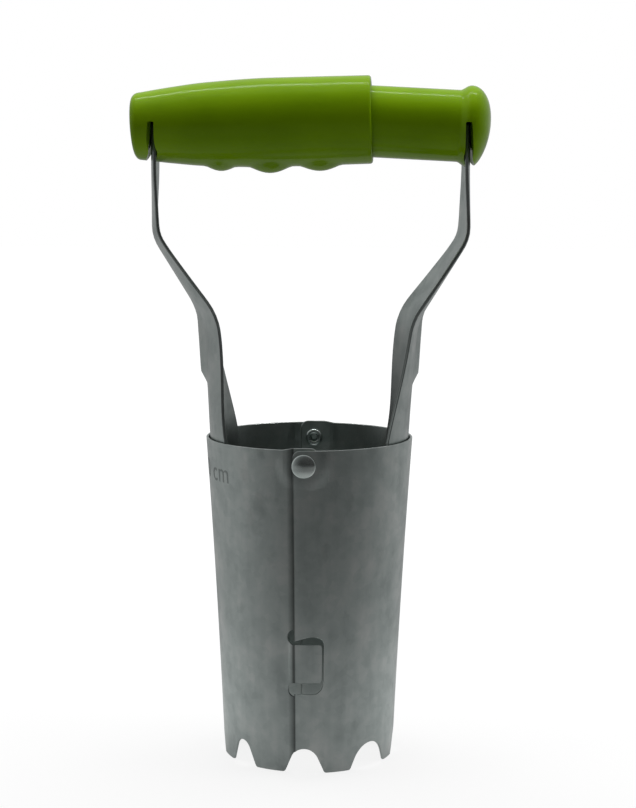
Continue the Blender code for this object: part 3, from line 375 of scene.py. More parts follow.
# Lamps: place, the point that each faces, width, depth, power, and whether the metal shows it
LAMPS = {
    "overhead": ((0, 0.18, 1.1), (0, 0, 0.1), 1.2, 0.7, 12.0, False),
    "side": ((0.9, 0.05, 0.4), (0, 0, 0.2), 0.4, 0.4, 1.3, False),
    "strip": ((0, 0.34, 1.2), (0, 0, 0.2), 1.2, 0.03, 2.2, True),
}


def smoothstep(value):
    """An even ramp from 0 to 1."""
    held = min(max(value, 0.0), 1.0)
    return held * held * (3.0 - 2.0 * held)


def rounded(corners, closed=True):
    """Points of an outline whose corners (across, along, radius) are rounded by arcs."""
    points = []
    count = len(corners)
    for index, (across, along, radius) in enumerate(corners):
        here = Vector((across, along))
        if radius == 0 or (not closed and index in (0, count - 1)):
            points.append(here)
            continue
        before = Vector(corners[index - 1][:2]) - here
        after = Vector(corners[(index + 1) % count][:2]) - here
        turn = math.pi - before.angle(after)
        reach = radius * math.tan(turn / 2)
        start = here + before.normalized() * reach
        middle = (before.normalized() + after.normalized()).normalized()
        centre = here + middle * (radius / math.cos(turn / 2))
        side = 1.0 if before.cross(after) < 0 else -1.0
        steps = max(2, math.ceil(turn / ARC_STEP))
        for step in range(steps + 1):
            points.append(centre + Matrix.Rotation(side * turn * step / steps, 2) @ (start - centre))
    return points


def only(kind, items):
    """The items of one kind among those that an operator gives back."""
    return [item for item in items if isinstance(item, kind)]


def mesh_of(name, shape):
    """A mesh that holds a finished shape."""
    mesh = bpy.data.meshes.new(name)
    shape.to_mesh(mesh)
    shape.free()
    return mesh


def placed(name, data):
    """A new object in the scene."""
    item = bpy.data.objects.new(name, data)
    bpy.context.scene.collection.objects.link(item)
    return item


def turn_about(shape, angle, axis, centre=(0, 0, 0)):
    """Turn a whole shape about an axis through a centre."""
    bmesh.ops.rotate(shape, cent=centre, matrix=Matrix.Rotation(angle, 3, axis), verts=shape.verts)


def sheet_blank(outlines, thickness, edge):
    """A flat blank of sheet metal: its outlines filled, drawn up to the thickness, and its edges broken."""
    blank = bmesh.new()
    for outline in outlines:
        verts = [blank.verts.new((across, along, edge - thickness / 2)) for across, along in outline]
        for start, end in zip(verts, verts[1:] + verts[:1]):
            blank.edges.new((start, end))
    bmesh.ops.triangle_fill(blank, use_beauty=True, use_dissolve=False, edges=blank.edges[:],
                            normal=(0, 0, 1))
    drawn = bmesh.ops.extrude_face_region(blank, geom=blank.faces[:])
    top = only(bmesh.types.BMVert, drawn["geom"])
    bmesh.ops.translate(blank, vec=(0, 0, thickness - 2 * edge), verts=top)
    bmesh.ops.recalc_face_normals(blank, faces=blank.faces[:])
    for side in (1, -1):
        flats = [face for face in blank.faces if face.normal.z * side > FLAT_NORMAL]
        bmesh.ops.inset_region(blank, faces=flats, use_boundary=True, use_even_offset=False,
                               thickness=edge, depth=edge)
    return blank


def cut_lines(blank, places, direction, keep=None):
    """Cut the blank along straight lines, where it can then bend, and mark them. keep picks the faces."""
    for place in places:
        faces = [face for face in blank.faces if keep is None or keep(face.calc_center_median())]
        edges = {edge for face in faces for edge in face.edges}
        verts = {vert for face in faces for vert in face.verts}
        cut = bmesh.ops.bisect_plane(blank, geom=[*verts, *edges, *faces], dist=WELD_DISTANCE,
                                     plane_co=Vector(direction) * place, plane_no=direction)
        for edge in only(bmesh.types.BMEdge, cut["geom_cut"]):
            edge.seam = True


def unmark_lines(blank):
    """Take the marks off the lines that were cut."""
    for edge in blank.edges:
        edge.seam = False


def join_slivers(blank):
    """Join the filled outline's thin triangles up to the lines where the sheet bends."""
    bmesh.ops.dissolve_limit(blank, angle_limit=SLIVER_ANGLE, verts=blank.verts, edges=blank.edges,
                             use_dissolve_boundaries=False, delimit={"SEAM"})
    bmesh.ops.triangulate(blank, faces=[face for face in blank.faces if len(face.verts) > 4])
    unmark_lines(blank)


def add_piece(name, shape, material, body, nodes=(), turn=0.0):
    """One finished piece: its faces out, its round surfaces smooth, riding on its body."""
    if turn:
        turn_about(shape, turn, "Z")
    bmesh.ops.recalc_face_normals(shape, faces=shape.faces)
    if shape.calc_volume(signed=True) < 0:
        bmesh.ops.reverse_faces(shape, faces=shape.faces)
    mesh = mesh_of(name, shape)
    mesh.shade_smooth()
    mesh.set_sharp_from_angle(angle=SHARP_ANGLE)
    mesh.materials.append(material)
    piece = placed(name, mesh)
    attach(piece, body)
    if nodes:
        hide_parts(*nodes)
    return piece


def even_shading(piece):
    """Let a sheet's broad faces lead its shading, so that only its broken edges shade round."""
    weighted = piece.modifiers.new("even_shading", "WEIGHTED_NORMAL")
    weighted.keep_sharp = True
    weighted.weight = BROAD_FACE_WEIGHT


def shell_radius(height):
    """Outer radius of the tube at the sides, where each half is midway between its two layers."""
    share = height / SHELL_HEIGHT
    hollow = SHELL_HOLLOW * max(1.0 - (2.0 * share - 1.0) ** 2, 0.0)
    return SHELL_BOTTOM_RADIUS + (SHELL_TOP_RADIUS - SHELL_BOTTOM_RADIUS) * share - hollow


def on_tube(radius, azimuth, height):
    """A place on the tube. Azimuth runs from the front, over the right-hand side, to the back."""
    return Vector((radius * math.sin(azimuth), -radius * math.cos(azimuth), height))


def layer_offset(azimuth):
    """Each half runs from the outer layer at its seam to the inner layer at its ear."""
    return LAYER_PITCH * (0.5 - azimuth / math.pi)


def arch_circle(half_angle):
    """Radius of an arch's round top, which touches both flanks and the full height."""
    flank_top = SHELL_TOP_RADIUS * half_angle - ARCH_HEIGHT * math.tan(ARCH_SLOPE)
    return flank_top / math.tan((math.pi / 2 - ARCH_SLOPE) / 2)


def arch_points(half_angle):
    """One arch on the blank, from its left foot to its right foot, about its own middle."""
    foot = SHELL_TOP_RADIUS * half_angle
    radius = arch_circle(half_angle)
    half_turn = math.pi / 2 - ARCH_SLOPE
    steps = 2 * math.ceil(half_turn / ARC_STEP)
    points = []
    for step in range(steps + 1):
        angle = -half_turn + 2 * half_turn * step / steps
        points.append((radius * math.sin(angle), ARCH_HEIGHT - radius * (1 - math.cos(angle)), 0))
    return [(-foot, 0, TOOTH_CORNER_RADIUS), *points, (foot, 0, TOOTH_CORNER_RADIUS)]


def part_arch(centre, half_angle, edge):
    """The arch that a side edge of the blank cuts: its points on the blank's side of that edge."""
    side = 1.0 if edge < centre else -1.0
    offset = edge - centre
    radius = arch_circle(half_angle)
    height = ARCH_HEIGHT - radius + math.sqrt(radius * radius - offset * offset)
    kept = [(centre + across, along, corner) for across, along, corner in arch_points(half_angle)
            if (across - offset) * side > WELD_DISTANCE]
    start = (edge, height, 0)
    return [start, *kept] if side > 0 else [*kept, start]


def shell_outline(tabbed):
    """The half shell's blank: across is azimuth times the top radius, along is height."""
    unit = SHELL_TOP_RADIUS
    seam = -SEAM_ANGLE * unit
    back = math.pi * unit
    ear = back + EAR_ANGLE * unit
    rise = EAR_RISE_ANGLE * unit
    arches = list(zip(ARCH_CENTRES, ARCH_HALF_ANGLES))
    corners = part_arch(arches[0][0] * unit, arches[0][1], seam)
    for centre, half_angle in arches[1:-1]:
        middle = centre * unit
        corners += [(middle + across, along, corner) for across, along, corner in arch_points(half_angle)]
    corners += part_arch(arches[-1][0] * unit, arches[-1][1], ear)
    if tabbed:
        root = back - TAB_ROOT_ANGLE * unit
        tip = back + TAB_TIP_ANGLE * unit
        slot_end = TAB_SLOT_WIDTH * TAB_SLOT_END_SHARE
        corners += [
            (ear, TAB_LOW - TAB_SLOT_WIDTH, 0),
            (root, TAB_LOW - TAB_SLOT_WIDTH, slot_end),
            (root, TAB_LOW, slot_end),
            (tip, TAB_LOW, TAB_CORNER_RADIUS),
            (tip, TAB_HIGH, TAB_CORNER_RADIUS),
            (root, TAB_HIGH, slot_end),
            (root, TAB_HIGH + TAB_SLOT_WIDTH, slot_end),
            (ear, TAB_HIGH + TAB_SLOT_WIDTH, 0),
        ]
    corners += [
        (ear, SHELL_HEIGHT + EAR_RISE, RIM_CORNER_RADIUS),
        (back - rise / 2, SHELL_HEIGHT + EAR_RISE, 0),
        (back - rise, SHELL_HEIGHT, 0),
        (seam, SHELL_HEIGHT, RIM_CORNER_RADIUS),
    ]
    if not tabbed:
        notch = NOTCH_END_ANGLE * unit
        corners += [
            (seam, NOTCH_HIGH, 0),
            (NOTCH_PEAK_ANGLE * unit, NOTCH_PEAK, NOTCH_PEAK_RADIUS),
            (notch, NOTCH_CORNER, NOTCH_CORNER_RADIUS),
            (notch, NOTCH_LOW, NOTCH_LOW_RADIUS),
            (seam, NOTCH_LOW, 0),
        ]
    return rounded(corners)


def rivet_plane(azimuth):
    """Distance from the axis to the middle of the sheet, where it is pressed flat round a rivet."""
    return shell_radius(RIVET_HEIGHT) - SHELL_SHEET / 2 + layer_offset(azimuth)


def place_on_shell(flat, tabbed):
    """Where a point of the half shell's blank lies once the sheet is rolled and pressed."""
    azimuth = flat.x / SHELL_TOP_RADIUS
    height = flat.y
    radius = shell_radius(height) - SHELL_SHEET / 2 + layer_offset(azimuth) + flat.z
    past_root = azimuth - (math.pi - TAB_ROOT_ANGLE)
    if tabbed and TAB_LOW - TAB_SLOT_WIDTH / 2 < height < TAB_HIGH + TAB_SLOT_WIDTH / 2 and past_root > 0:
        radius += LAYER_PITCH * smoothstep(past_root / TAB_RISE_ANGLE)
    point = on_tube(radius, azimuth, height)
    rivet_azimuth = 0.0 if azimuth < math.pi / 2 else math.pi
    away = math.hypot(point.x, height - RIVET_HEIGHT)
    share = 1.0 - smoothstep((away - FLAT_RADIUS) / FLAT_BLEND)
    taper = FLAT_LEAN_SHARE * (shell_radius(height) - shell_radius(RIVET_HEIGHT))
    flat_y = -(rivet_plane(rivet_azimuth) + taper + flat.z) * math.cos(rivet_azimuth)
    point.y += (flat_y - point.y) * share
    return point


def make_shell(tabbed):
    """A half shell, on the right-hand side: blanked, rolled and pressed flat round its rivets."""
    unit = SHELL_TOP_RADIUS
    outlines = [shell_outline(tabbed)]
    for azimuth in (0.0, math.pi):
        middle = azimuth * unit
        wide = RIVET_HOLE_RADIUS * unit / rivet_plane(azimuth)
        high = RIVET_HOLE_RADIUS
        turns = [2 * math.pi * step / RIVET_STEPS for step in range(RIVET_STEPS)]
        outlines.append([(middle + wide * math.cos(a), RIVET_HEIGHT + high * math.sin(a)) for a in turns])
    blank = sheet_blank(outlines, SHELL_SHEET, SHELL_EDGE)
    first = -SEAM_ANGLE
    last = math.pi + (TAB_TIP_ANGLE if tabbed else EAR_ANGLE)
    steps = math.ceil((last - first) / SHEET_STEP)
    bends = [(first + (last - first) * step / steps) * unit for step in range(1, steps)]
    cut_lines(blank, bends, (1, 0, 0))
    rows = math.ceil(SHELL_HEIGHT / SHEET_HEIGHT_STEP)
    cut_lines(blank, [SHELL_HEIGHT * row / rows for row in range(1, rows)], (0, 1, 0))
    reach = FLAT_RADIUS + FLAT_BLEND
    count = math.ceil(reach / FLAT_STEP)
    beside = [reach * step / count for step in range(-count, count + 1)]
    for centre in (0.0, math.pi * unit):

        def near(point, centre=centre):
            return abs(point.x - centre) < reach and point.y > RIVET_HEIGHT - reach

        cut_lines(blank, [centre + place for place in beside], (1, 0, 0), near)
        cut_lines(blank, [RIVET_HEIGHT + place for place in beside], (0, 1, 0), near)
    if tabbed:
        root = math.pi - TAB_ROOT_ANGLE

        def in_tab(point):
            return point.x > (root - SHEET_STEP) * unit and TAB_LOW < point.y < TAB_HIGH

        bends = [(root + TAB_RISE_ANGLE * step / TAB_STEPS) * unit for step in range(TAB_STEPS + 1)]
        cut_lines(blank, bends, (1, 0, 0), in_tab)
    join_slivers(blank)
    outer_face = blank.verts.layers.float.new("outer_face")
    for vert in blank.verts:
        vert[outer_face] = float(vert.co.z > 0)
        vert.co = place_on_shell(vert.co, tabbed)
    return blank


def arm_outer_x(height):
    """The arm's outer face, which lies against its shell's inside and carries on in that line above it."""
    return shell_radius(height) - SHELL_SHEET - SEAT_GAP


def arm_path():
    """The middle of the arm's sheet from its foot to the top of its tongue, as close points (x, z)."""
    half = ARM_SHEET / 2
    foot = SHELL_HEIGHT - ARM_BELOW_RIM
    turns = rounded([
        (arm_outer_x(foot) - half, foot, 0),
        (arm_outer_x(LOWER_BEND_HEIGHT) - half, LOWER_BEND_HEIGHT, LOWER_BEND_RADIUS),
        (PIN_X, UPPER_BEND_HEIGHT, UPPER_BEND_RADIUS),
        (PIN_X, PIN_HEIGHT + TONGUE_RISE, 0),
    ], closed=False)
    points = [turns[0]]
    for start, end in zip(turns, turns[1:]):
        steps = max(1, math.ceil((end - start).length / PATH_STEP))
        points += [start.lerp(end, step / steps) for step in range(1, steps + 1)]
    return points


class Route:
    """A path that is read by its length."""

    def __init__(self, points):
        self.points = points
        self.lengths = [0.0]
        for start, end in zip(points, points[1:]):
            self.lengths.append(self.lengths[-1] + (end - start).length)

    def length_at(self, height):
        """Length along the path where it reaches a height."""
        for index, (start, end) in enumerate(zip(self.points, self.points[1:])):
            if start.y <= height <= end.y:
                return self.lengths[index] + (end - start).length * (height - start.y) / (end.y - start.y)
        return self.lengths[-1]

    def point(self, length):
        """Place on the path at a length, which runs straight on past its ends."""
        index = 0
        while index < len(self.points) - 2 and self.lengths[index + 1] < length:
            index += 1
        start, end = self.points[index], self.points[index + 1]
        return start + (end - start).normalized() * (length - self.lengths[index])

    def direction(self, length):
        """Direction of the path at a length, evened out over a step to each side."""
        return (self.point(length + PATH_STEP) - self.point(length - PATH_STEP)).normalized()


def arm_outline(route):
    """The arm's blank: across is width, along is length on the path."""
    neck = route.length_at(UPPER_BEND_HEIGHT)
    shoulder = route.length_at(PIN_HEIGHT + SHOULDER_RISE)
    side = [
        (ARM_FOOT_HALF, 0, ARM_FOOT_CORNER),
        (ARM_FOOT_HALF, route.length_at(SHELL_HEIGHT), ARM_EDGE_ROUNDING),
        (ARM_BEND_HALF, route.length_at(LOWER_BEND_HEIGHT), ARM_EDGE_ROUNDING),
        (ARM_NECK_HALF, neck - ARM_NECK_RUN, ARM_EDGE_ROUNDING),
        (ARM_TOP_HALF, neck + ARM_NECK_RUN, ARM_EDGE_ROUNDING),
        (ARM_TOP_HALF, shoulder, SHOULDER_CORNER),
        (TONGUE_HALF, shoulder, SHOULDER_CORNER),
        (TONGUE_HALF, route.lengths[-1], TONGUE_CORNER),
    ]
    return rounded(side + [(-across, along, corner) for across, along, corner in reversed(side)])


def arm_hollow(across):
    """How far the arm's curved section stands back from its middle, at a distance across."""
    return ARM_SECTION_RADIUS - math.sqrt(ARM_SECTION_RADIUS ** 2 - across ** 2)


def place_on_arm(flat, route):
    """Where a point of the arm's blank lies once the sheet is pressed, on the right-hand side."""
    here = route.point(flat.y)
    direction = route.direction(flat.y)
    outward = Vector((direction.y, -direction.x))
    grown = smoothstep((here.y - SHELL_HEIGHT) / (LOWER_BEND_HEIGHT - SHELL_HEIGHT))
    nested = 1.0 - grown
    section = here.x * nested + ARM_SECTION_RADIUS * grown
    angle = flat.x / section
    rise = (section + flat.z) * math.cos(angle) - section
    sideways = (section + flat.z) * math.sin(angle)
    low = smoothstep((here.y - RIB_LOW) / RIB_LOW_BLEND)
    high = smoothstep((RIB_HIGH - here.y) / RIB_HIGH_BLEND)
    rise += RIB_HEIGHT * low * high * smoothstep(1.0 - abs(flat.x) / RIB_HALF_WIDTH)
    from_pin = math.hypot(flat.x, here.y - PIN_HEIGHT)
    rise -= BOSS_HEIGHT * smoothstep((1.0 - from_pin / BOSS_RADIUS) / BOSS_SLOPE_SHARE)
    faded = smoothstep((here.y - UPPER_BEND_HEIGHT) / (UPPER_BEND_DROP * TWIST_END_SHARE))
    twist = -ARM_TWIST * (grown - faded) - ARM_TOP_TWIST * faded
    out = rise * math.cos(twist) + sideways * math.sin(twist)
    along_y = sideways * math.cos(twist) - rise * math.sin(twist) - LAYER_PITCH / math.pi * nested
    return Vector((here.x + outward.x * out, along_y, here.y + outward.y * out))


def make_arm():
    """An arm, on the right-hand side."""
    route = Route(arm_path())
    blank = sheet_blank([arm_outline(route)], ARM_SHEET, ARM_EDGE)
    total = route.lengths[-1]
    steps = math.ceil(total / ARM_LENGTH_STEP)
    cut_lines(blank, [total * step / steps for step in range(1, steps)], (0, 1, 0))
    steps = math.ceil(ARM_FOOT_HALF / ARM_WIDTH_STEP)
    cut_lines(blank, [ARM_FOOT_HALF * step / steps for step in range(1 - steps, steps)], (1, 0, 0))
    rib_start = route.length_at(RIB_LOW)
    rib_end = route.length_at(RIB_HIGH)
    pin = route.length_at(PIN_HEIGHT)
    fine = [RIB_LINE_STEP * (step + 0.5) for step in range(-RIB_LINES, RIB_LINES)]

    def in_rib(point):
        return rib_start < point.y < rib_end and abs(point.x) < RIB_HALF_WIDTH + ARM_WIDTH_STEP

    def in_boss(point):
        return abs(point.y - pin) < BOSS_RADIUS and abs(point.x) < BOSS_RADIUS + ARM_WIDTH_STEP

    cut_lines(blank, fine, (1, 0, 0), in_rib)
    cut_lines(blank, fine, (1, 0, 0), in_boss)
    cut_lines(blank, [pin + place for place in fine], (0, 1, 0), in_boss)
    join_slivers(blank)
    inner_face = blank.verts.layers.float.new("inner_face")
    for vert in blank.verts:
        vert[inner_face] = float(vert.co.z < 0)
        vert.co = place_on_arm(vert.co, route)
    return blank


def turned(profile, steps):
    """A closed solid of revolution: a line of points (radius, height) spun round Z."""
    shape = bmesh.new()
    verts = [shape.verts.new((radius, 0, height)) for radius, height in profile]
    edges = [shape.edges.new(pair) for pair in zip(verts, verts[1:])]
    bmesh.ops.spin(shape, geom=[*verts, *edges], cent=(0, 0, 0), axis=(0, 0, 1), angle=2 * math.pi,
                   steps=steps, use_merge=True)
    bmesh.ops.remove_doubles(shape, verts=shape.verts, dist=WELD_DISTANCE)
    bmesh.ops.dissolve_degenerate(shape, edges=shape.edges, dist=WELD_DISTANCE)
    bmesh.ops.recalc_face_normals(shape, faces=shape.faces)
    return shape


def arc_profile(centre_radius, centre_height, radius, start, end, steps=PROFILE_ARC_STEPS):
    """Points of a profile along an arc. Its angles run from straight outwards towards +height."""
    angles = [start + (end - start) * step / steps for step in range(steps + 1)]
    return [(centre_radius + radius * math.cos(a), centre_height + radius * math.sin(a)) for a in angles]


def smooth_line(stations):
    """Points of a smooth curve through (height, radius) stations, by a monotone cubic."""
    heights = [height for height, _ in stations]
    radii = [radius for _, radius in stations]
    slopes = [(radii[i + 1] - radii[i]) / (heights[i + 1] - heights[i]) for i in range(len(radii) - 1)]
    ends = [slopes[0]]
    for before, after in zip(slopes, slopes[1:]):
        ends.append(0.0 if before * after <= 0 else 2 * before * after / (before + after))
    ends.append(slopes[-1])
    points = []
    for index in range(len(slopes)):
        width = heights[index + 1] - heights[index]
        steps = math.ceil(width / GRIP_STEP)
        for step in range(steps):
            t = step / steps
            value = ((1 + 2 * t) * (1 - t) ** 2 * radii[index] + t * (1 - t) ** 2 * width * ends[index]
                     + t * t * (3 - 2 * t) * radii[index + 1] + t * t * (t - 1) * width * ends[index + 1])
            points.append((value, heights[index] + width * t))
    points.append((radii[-1], heights[-1]))
    return points


def lay_along_x(shape):
    """Turn a solid of revolution so that its heights become X, and lift it to the grip's axis."""
    turn_about(shape, math.pi / 2, "Y")
    bmesh.ops.translate(shape, vec=(0, 0, PIN_HEIGHT), verts=shape.verts)


def slant_end(shape, side, start, slant):
    """Lean a moulding's closed end, so that its lower edge is further in than its upper edge."""
    span = PIN_X + GRIP_END_BEYOND_PIN - start
    for vert in shape.verts:
        share = smoothstep((side * vert.co.x - start) / span)
        vert.co.x += side * (vert.co.z - PIN_HEIGHT) * math.tan(slant) * share


def lean_from_pin(shape, side, lean):
    """Turn a level moulding about its pin, so that its open end is higher."""
    turn_about(shape, side * lean, "Y", Vector((side * PIN_X, 0, PIN_HEIGHT)))


def raise_bumps(shape):
    """Draw out the lumps under the sleeve that lie between the fingers, with soft roots."""
    for vert in shape.verts:
        from_axis = Vector((vert.co.y, vert.co.z - PIN_HEIGHT))
        if from_axis.length < BORE_RADIUS + SLOT_GAP or from_axis.y > 0:
            continue
        for inside_end, half_length, stand_out in BUMPS:
            along = (vert.co.x - SLEEVE_END_X - inside_end) / (half_length * BUMP_LENGTH_SPREAD_SHARE)
            across = vert.co.y / (BUMP_HALF_WIDTH * BUMP_WIDTH_SPREAD_SHARE)
            reach = along * along + across * across
            if reach < 1.0:
                vert.co.z -= stand_out * (1.0 - reach) ** BUMP_SOFTNESS


def cut_away(piece, cutter):
    """Take a cutter's shape out of a piece, and keep the edges that this leaves crisp."""
    mesh = mesh_of("slot_cutter", cutter)
    tool = placed("slot_cutter", mesh)
    change = piece.modifiers.new("arm_slot", "BOOLEAN")
    change.operation = "DIFFERENCE"
    change.object = tool
    graph = bpy.context.evaluated_depsgraph_get()
    result = bpy.data.meshes.new_from_object(piece.evaluated_get(graph))
    piece.modifiers.remove(change)
    old = piece.data
    piece.data = result
    bpy.data.meshes.remove(old)
    bpy.data.objects.remove(tool, do_unlink=True)
    bpy.data.meshes.remove(mesh)
    result.shade_smooth()
    result.set_sharp_from_angle(angle=SLOT_SHARP_ANGLE)


def cut_arm_slot(piece, side):
    """Cut the slot that an arm enters a grip moulding by. It is curved and turned like the arm's section
    and flared to the outside for the arm's turn."""
    inner = PIN_X - ARM_SHEET / 2 - SLOT_GAP
    outer = PIN_X + ARM_SHEET / 2 + SLOT_GAP
    top = PIN_HEIGHT + SHOULDER_RISE + SLOT_GAP
    flare = SLOT_FLARE - (SLEEVE_LEAN if side < 0 else PLUNGER_DROOP)
    corners = [
        (side * inner, top, SLOT_GAP),
        (side * inner, top - SLOT_DEPTH, 0),
        (side * (outer + SLOT_DEPTH * math.tan(flare)), top - SLOT_DEPTH, 0),
        (side * outer, top, SLOT_GAP),
    ]
    cutter = bmesh.new()
    verts = [cutter.verts.new((across, -SLOT_REACH, along)) for across, along in rounded(corners)]
    drawn = bmesh.ops.extrude_face_region(cutter, geom=[cutter.faces.new(verts)])
    moved = only(bmesh.types.BMVert, drawn["geom"])
    bmesh.ops.translate(cutter, vec=(0, 2 * SLOT_REACH, 0), verts=moved)
    bends = [SLOT_REACH * step / SLOT_STEPS for step in range(1 - SLOT_STEPS, SLOT_STEPS)]
    cut_lines(cutter, bends, (0, 1, 0))
    for vert in cutter.verts:
        hollow = arm_hollow(min(abs(vert.co.y), ARM_TOP_HALF))
        past_arm = smoothstep((abs(vert.co.y) - ARM_TOP_HALF - SLOT_GAP) / SLOT_STRAIGHTENING)
        beside_arm = 1.0 - SLOT_STRAIGHT_SHARE * past_arm
        vert.co.x -= (side * hollow + vert.co.y * math.sin(ARM_TOP_TWIST)) * beside_arm
    bmesh.ops.recalc_face_normals(cutter, faces=cutter.faces)
    cut_away(piece, cutter)


def sleeve_shape():
    """The outer grip moulding: its skin and its hollow in one spun profile, before its slot."""
    corner_x = SLEEVE_END_X + SLEEVE_END_DOME + SLEEVE_END_CORNER
    flat_radius = SLEEVE_STATIONS[0][1] - SLEEVE_END_CORNER
    dome_radius = (flat_radius ** 2 + SLEEVE_END_DOME ** 2) / (2 * SLEEVE_END_DOME)
    lip = SLEEVE_LIP_RADIUS
    stations = [(SLEEVE_END_X + inside, radius) for inside, radius in SLEEVE_STATIONS]
    stations.append((SLEEVE_MOUTH_X - lip, SLEEVE_MOUTH_RADIUS))
    loose_end = PLUNGER_INNER_X - BORE_SPARE
    inner_end = loose_end - SQUEEZE_STROKE
    profile = [
        (0, -PIN_X - POCKET_BEYOND_PIN),
        (POCKET_RADIUS, -PIN_X - POCKET_BEYOND_PIN),
        (POCKET_RADIUS, -PIN_X + POCKET_INSIDE_PIN),
        (GUIDE_RADIUS, -PIN_X + POCKET_INSIDE_PIN),
        (GUIDE_RADIUS, inner_end - BORE_CONE),
        (BORE_TIGHT_RADIUS, inner_end),
        (BORE_RADIUS, loose_end),
    ]
    profile += arc_profile(BORE_RADIUS + SLEEVE_MOUTH_EDGE, SLEEVE_MOUTH_X - SLEEVE_MOUTH_EDGE,
                           SLEEVE_MOUTH_EDGE, math.pi, math.pi / 2, MOUTH_EDGE_STEPS)
    profile += arc_profile(SLEEVE_MOUTH_RADIUS - lip, SLEEVE_MOUTH_X - lip, lip, math.pi / 2, 0)[:-1]
    profile += list(reversed(smooth_line(stations)))
    profile += arc_profile(flat_radius, corner_x, SLEEVE_END_CORNER, 0, -math.pi / 2)[1:]
    half_angle = math.asin(flat_radius / dome_radius)
    for step in range(1, SLEEVE_END_STEPS + 1):
        angle = half_angle * (1 - step / SLEEVE_END_STEPS)
        profile.append((dome_radius * math.sin(angle), SLEEVE_END_X + dome_radius * (1 - math.cos(angle))))
    shape = turned(profile, TURN_STEPS)
    lay_along_x(shape)
    raise_bumps(shape)
    slant_end(shape, -1, -corner_x, SLEEVE_END_SLANT)
    lean_from_pin(shape, -1, SLEEVE_LEAN)
    return shape


def plunger_shape():
    """The inner grip moulding: a tube with a flared, domed knob, before its slot."""
    full_x = KNOB_END_X - KNOB_DOME_DEPTH
    bore = PLUNGER_RADIUS - PLUNGER_WALL
    profile = [(0, KNOB_END_X)]
    for step in range(1, KNOB_DOME_STEPS + 1):
        angle = math.pi / 2 * step / KNOB_DOME_STEPS
        profile.append((KNOB_RADIUS * math.sin(angle), full_x + KNOB_DOME_DEPTH * math.cos(angle)))
    flare_start = KNOB_SHOULDER_X + 2 * KNOB_FLARE
    profile.append((KNOB_RADIUS, flare_start))
    rise = KNOB_RADIUS - PLUNGER_RADIUS
    for step in range(1, KNOB_FLARE_STEPS + 1):
        share = step / KNOB_FLARE_STEPS
        radius = KNOB_RADIUS - rise * smoothstep(share ** KNOB_FLARE_EASE)
        profile.append((radius, flare_start - 2 * KNOB_FLARE * share))
    length = KNOB_SHOULDER_X - PLUNGER_INNER_X
    rings = math.ceil(length / PLUNGER_STEP)
    for ring in range(1, rings):
        profile.append((PLUNGER_RADIUS, KNOB_SHOULDER_X - length * ring / rings))
    profile += [
        (PLUNGER_RADIUS, PLUNGER_INNER_X + PLUNGER_END_CHAMFER),
        (PLUNGER_RADIUS - PLUNGER_END_CHAMFER, PLUNGER_INNER_X),
        (bore, PLUNGER_INNER_X),
        (bore, PIN_X - POCKET_INSIDE_PIN - BORE_CONE),
        (POCKET_RADIUS, PIN_X - POCKET_INSIDE_PIN),
        (POCKET_RADIUS, PIN_X + POCKET_BEYOND_PIN),
        (0, PIN_X + POCKET_BEYOND_PIN),
    ]
    shape = turned(profile, TURN_STEPS)
    lay_along_x(shape)
    slant_end(shape, 1, full_x, KNOB_SLANT)
    lean_from_pin(shape, 1, PLUNGER_DROOP)
    return shape


def rivet_shape():
    """A tubular rivet at the front: a domed head outside, a shank and a rolled, hollow tail inside."""
    outside = shell_radius(RIVET_HEIGHT) + LAYER_PITCH / 2
    inside = outside - LAYER_PITCH - SHELL_SHEET
    head_base = outside + RIVET_HEAD_GAP
    collar_top = inside - RIVET_COLLAR_GAP
    collar_end = collar_top - RIVET_COLLAR_LENGTH
    dome_radius = (RIVET_HEAD_RADIUS ** 2 + RIVET_HEAD_DOME ** 2) / (2 * RIVET_HEAD_DOME)
    half_angle = math.asin(RIVET_HEAD_RADIUS / dome_radius)
    dome_centre = head_base + RIVET_HEAD_EDGE + RIVET_HEAD_DOME - dome_radius
    profile = []
    for step in range(RIVET_DOME_STEPS + 1):
        angle = half_angle * step / RIVET_DOME_STEPS * RIVET_DOME_SHARE
        profile.append((dome_radius * math.sin(angle), dome_centre + dome_radius * math.cos(angle)))
    edge = RIVET_HEAD_EDGE / 2
    profile += arc_profile(RIVET_HEAD_RADIUS - edge, head_base + edge, edge, math.pi / 3, -math.pi / 2)
    roll = RIVET_COLLAR_LENGTH / 2
    profile += [(RIVET_SHANK_RADIUS, head_base), (RIVET_SHANK_RADIUS, collar_top)]
    profile += arc_profile(RIVET_COLLAR_RADIUS - roll, collar_end + roll, roll,
                           math.pi / 2, -math.pi / 2, RIVET_ROLL_STEPS)
    profile += [
        (RIVET_HOLLOW_RADIUS + RIVET_FLARE_WIDTH, collar_end + RIVET_FLARE_DEPTH),
        (RIVET_HOLLOW_RADIUS, collar_end + roll / 2),
        (RIVET_HOLLOW_RADIUS, collar_end + RIVET_HOLLOW_DEPTH - RIVET_HOLLOW_CORNER),
        (RIVET_HOLLOW_RADIUS - RIVET_HOLLOW_CORNER, collar_end + RIVET_HOLLOW_DEPTH),
        (0, collar_end + RIVET_HOLLOW_DEPTH),
    ]
    shape = turned(profile, RIVET_STEPS)
    turn_about(shape, math.pi / 2, "X")
    bmesh.ops.translate(shape, vec=(0, 0, RIVET_HEIGHT), verts=shape.verts)
    return shape


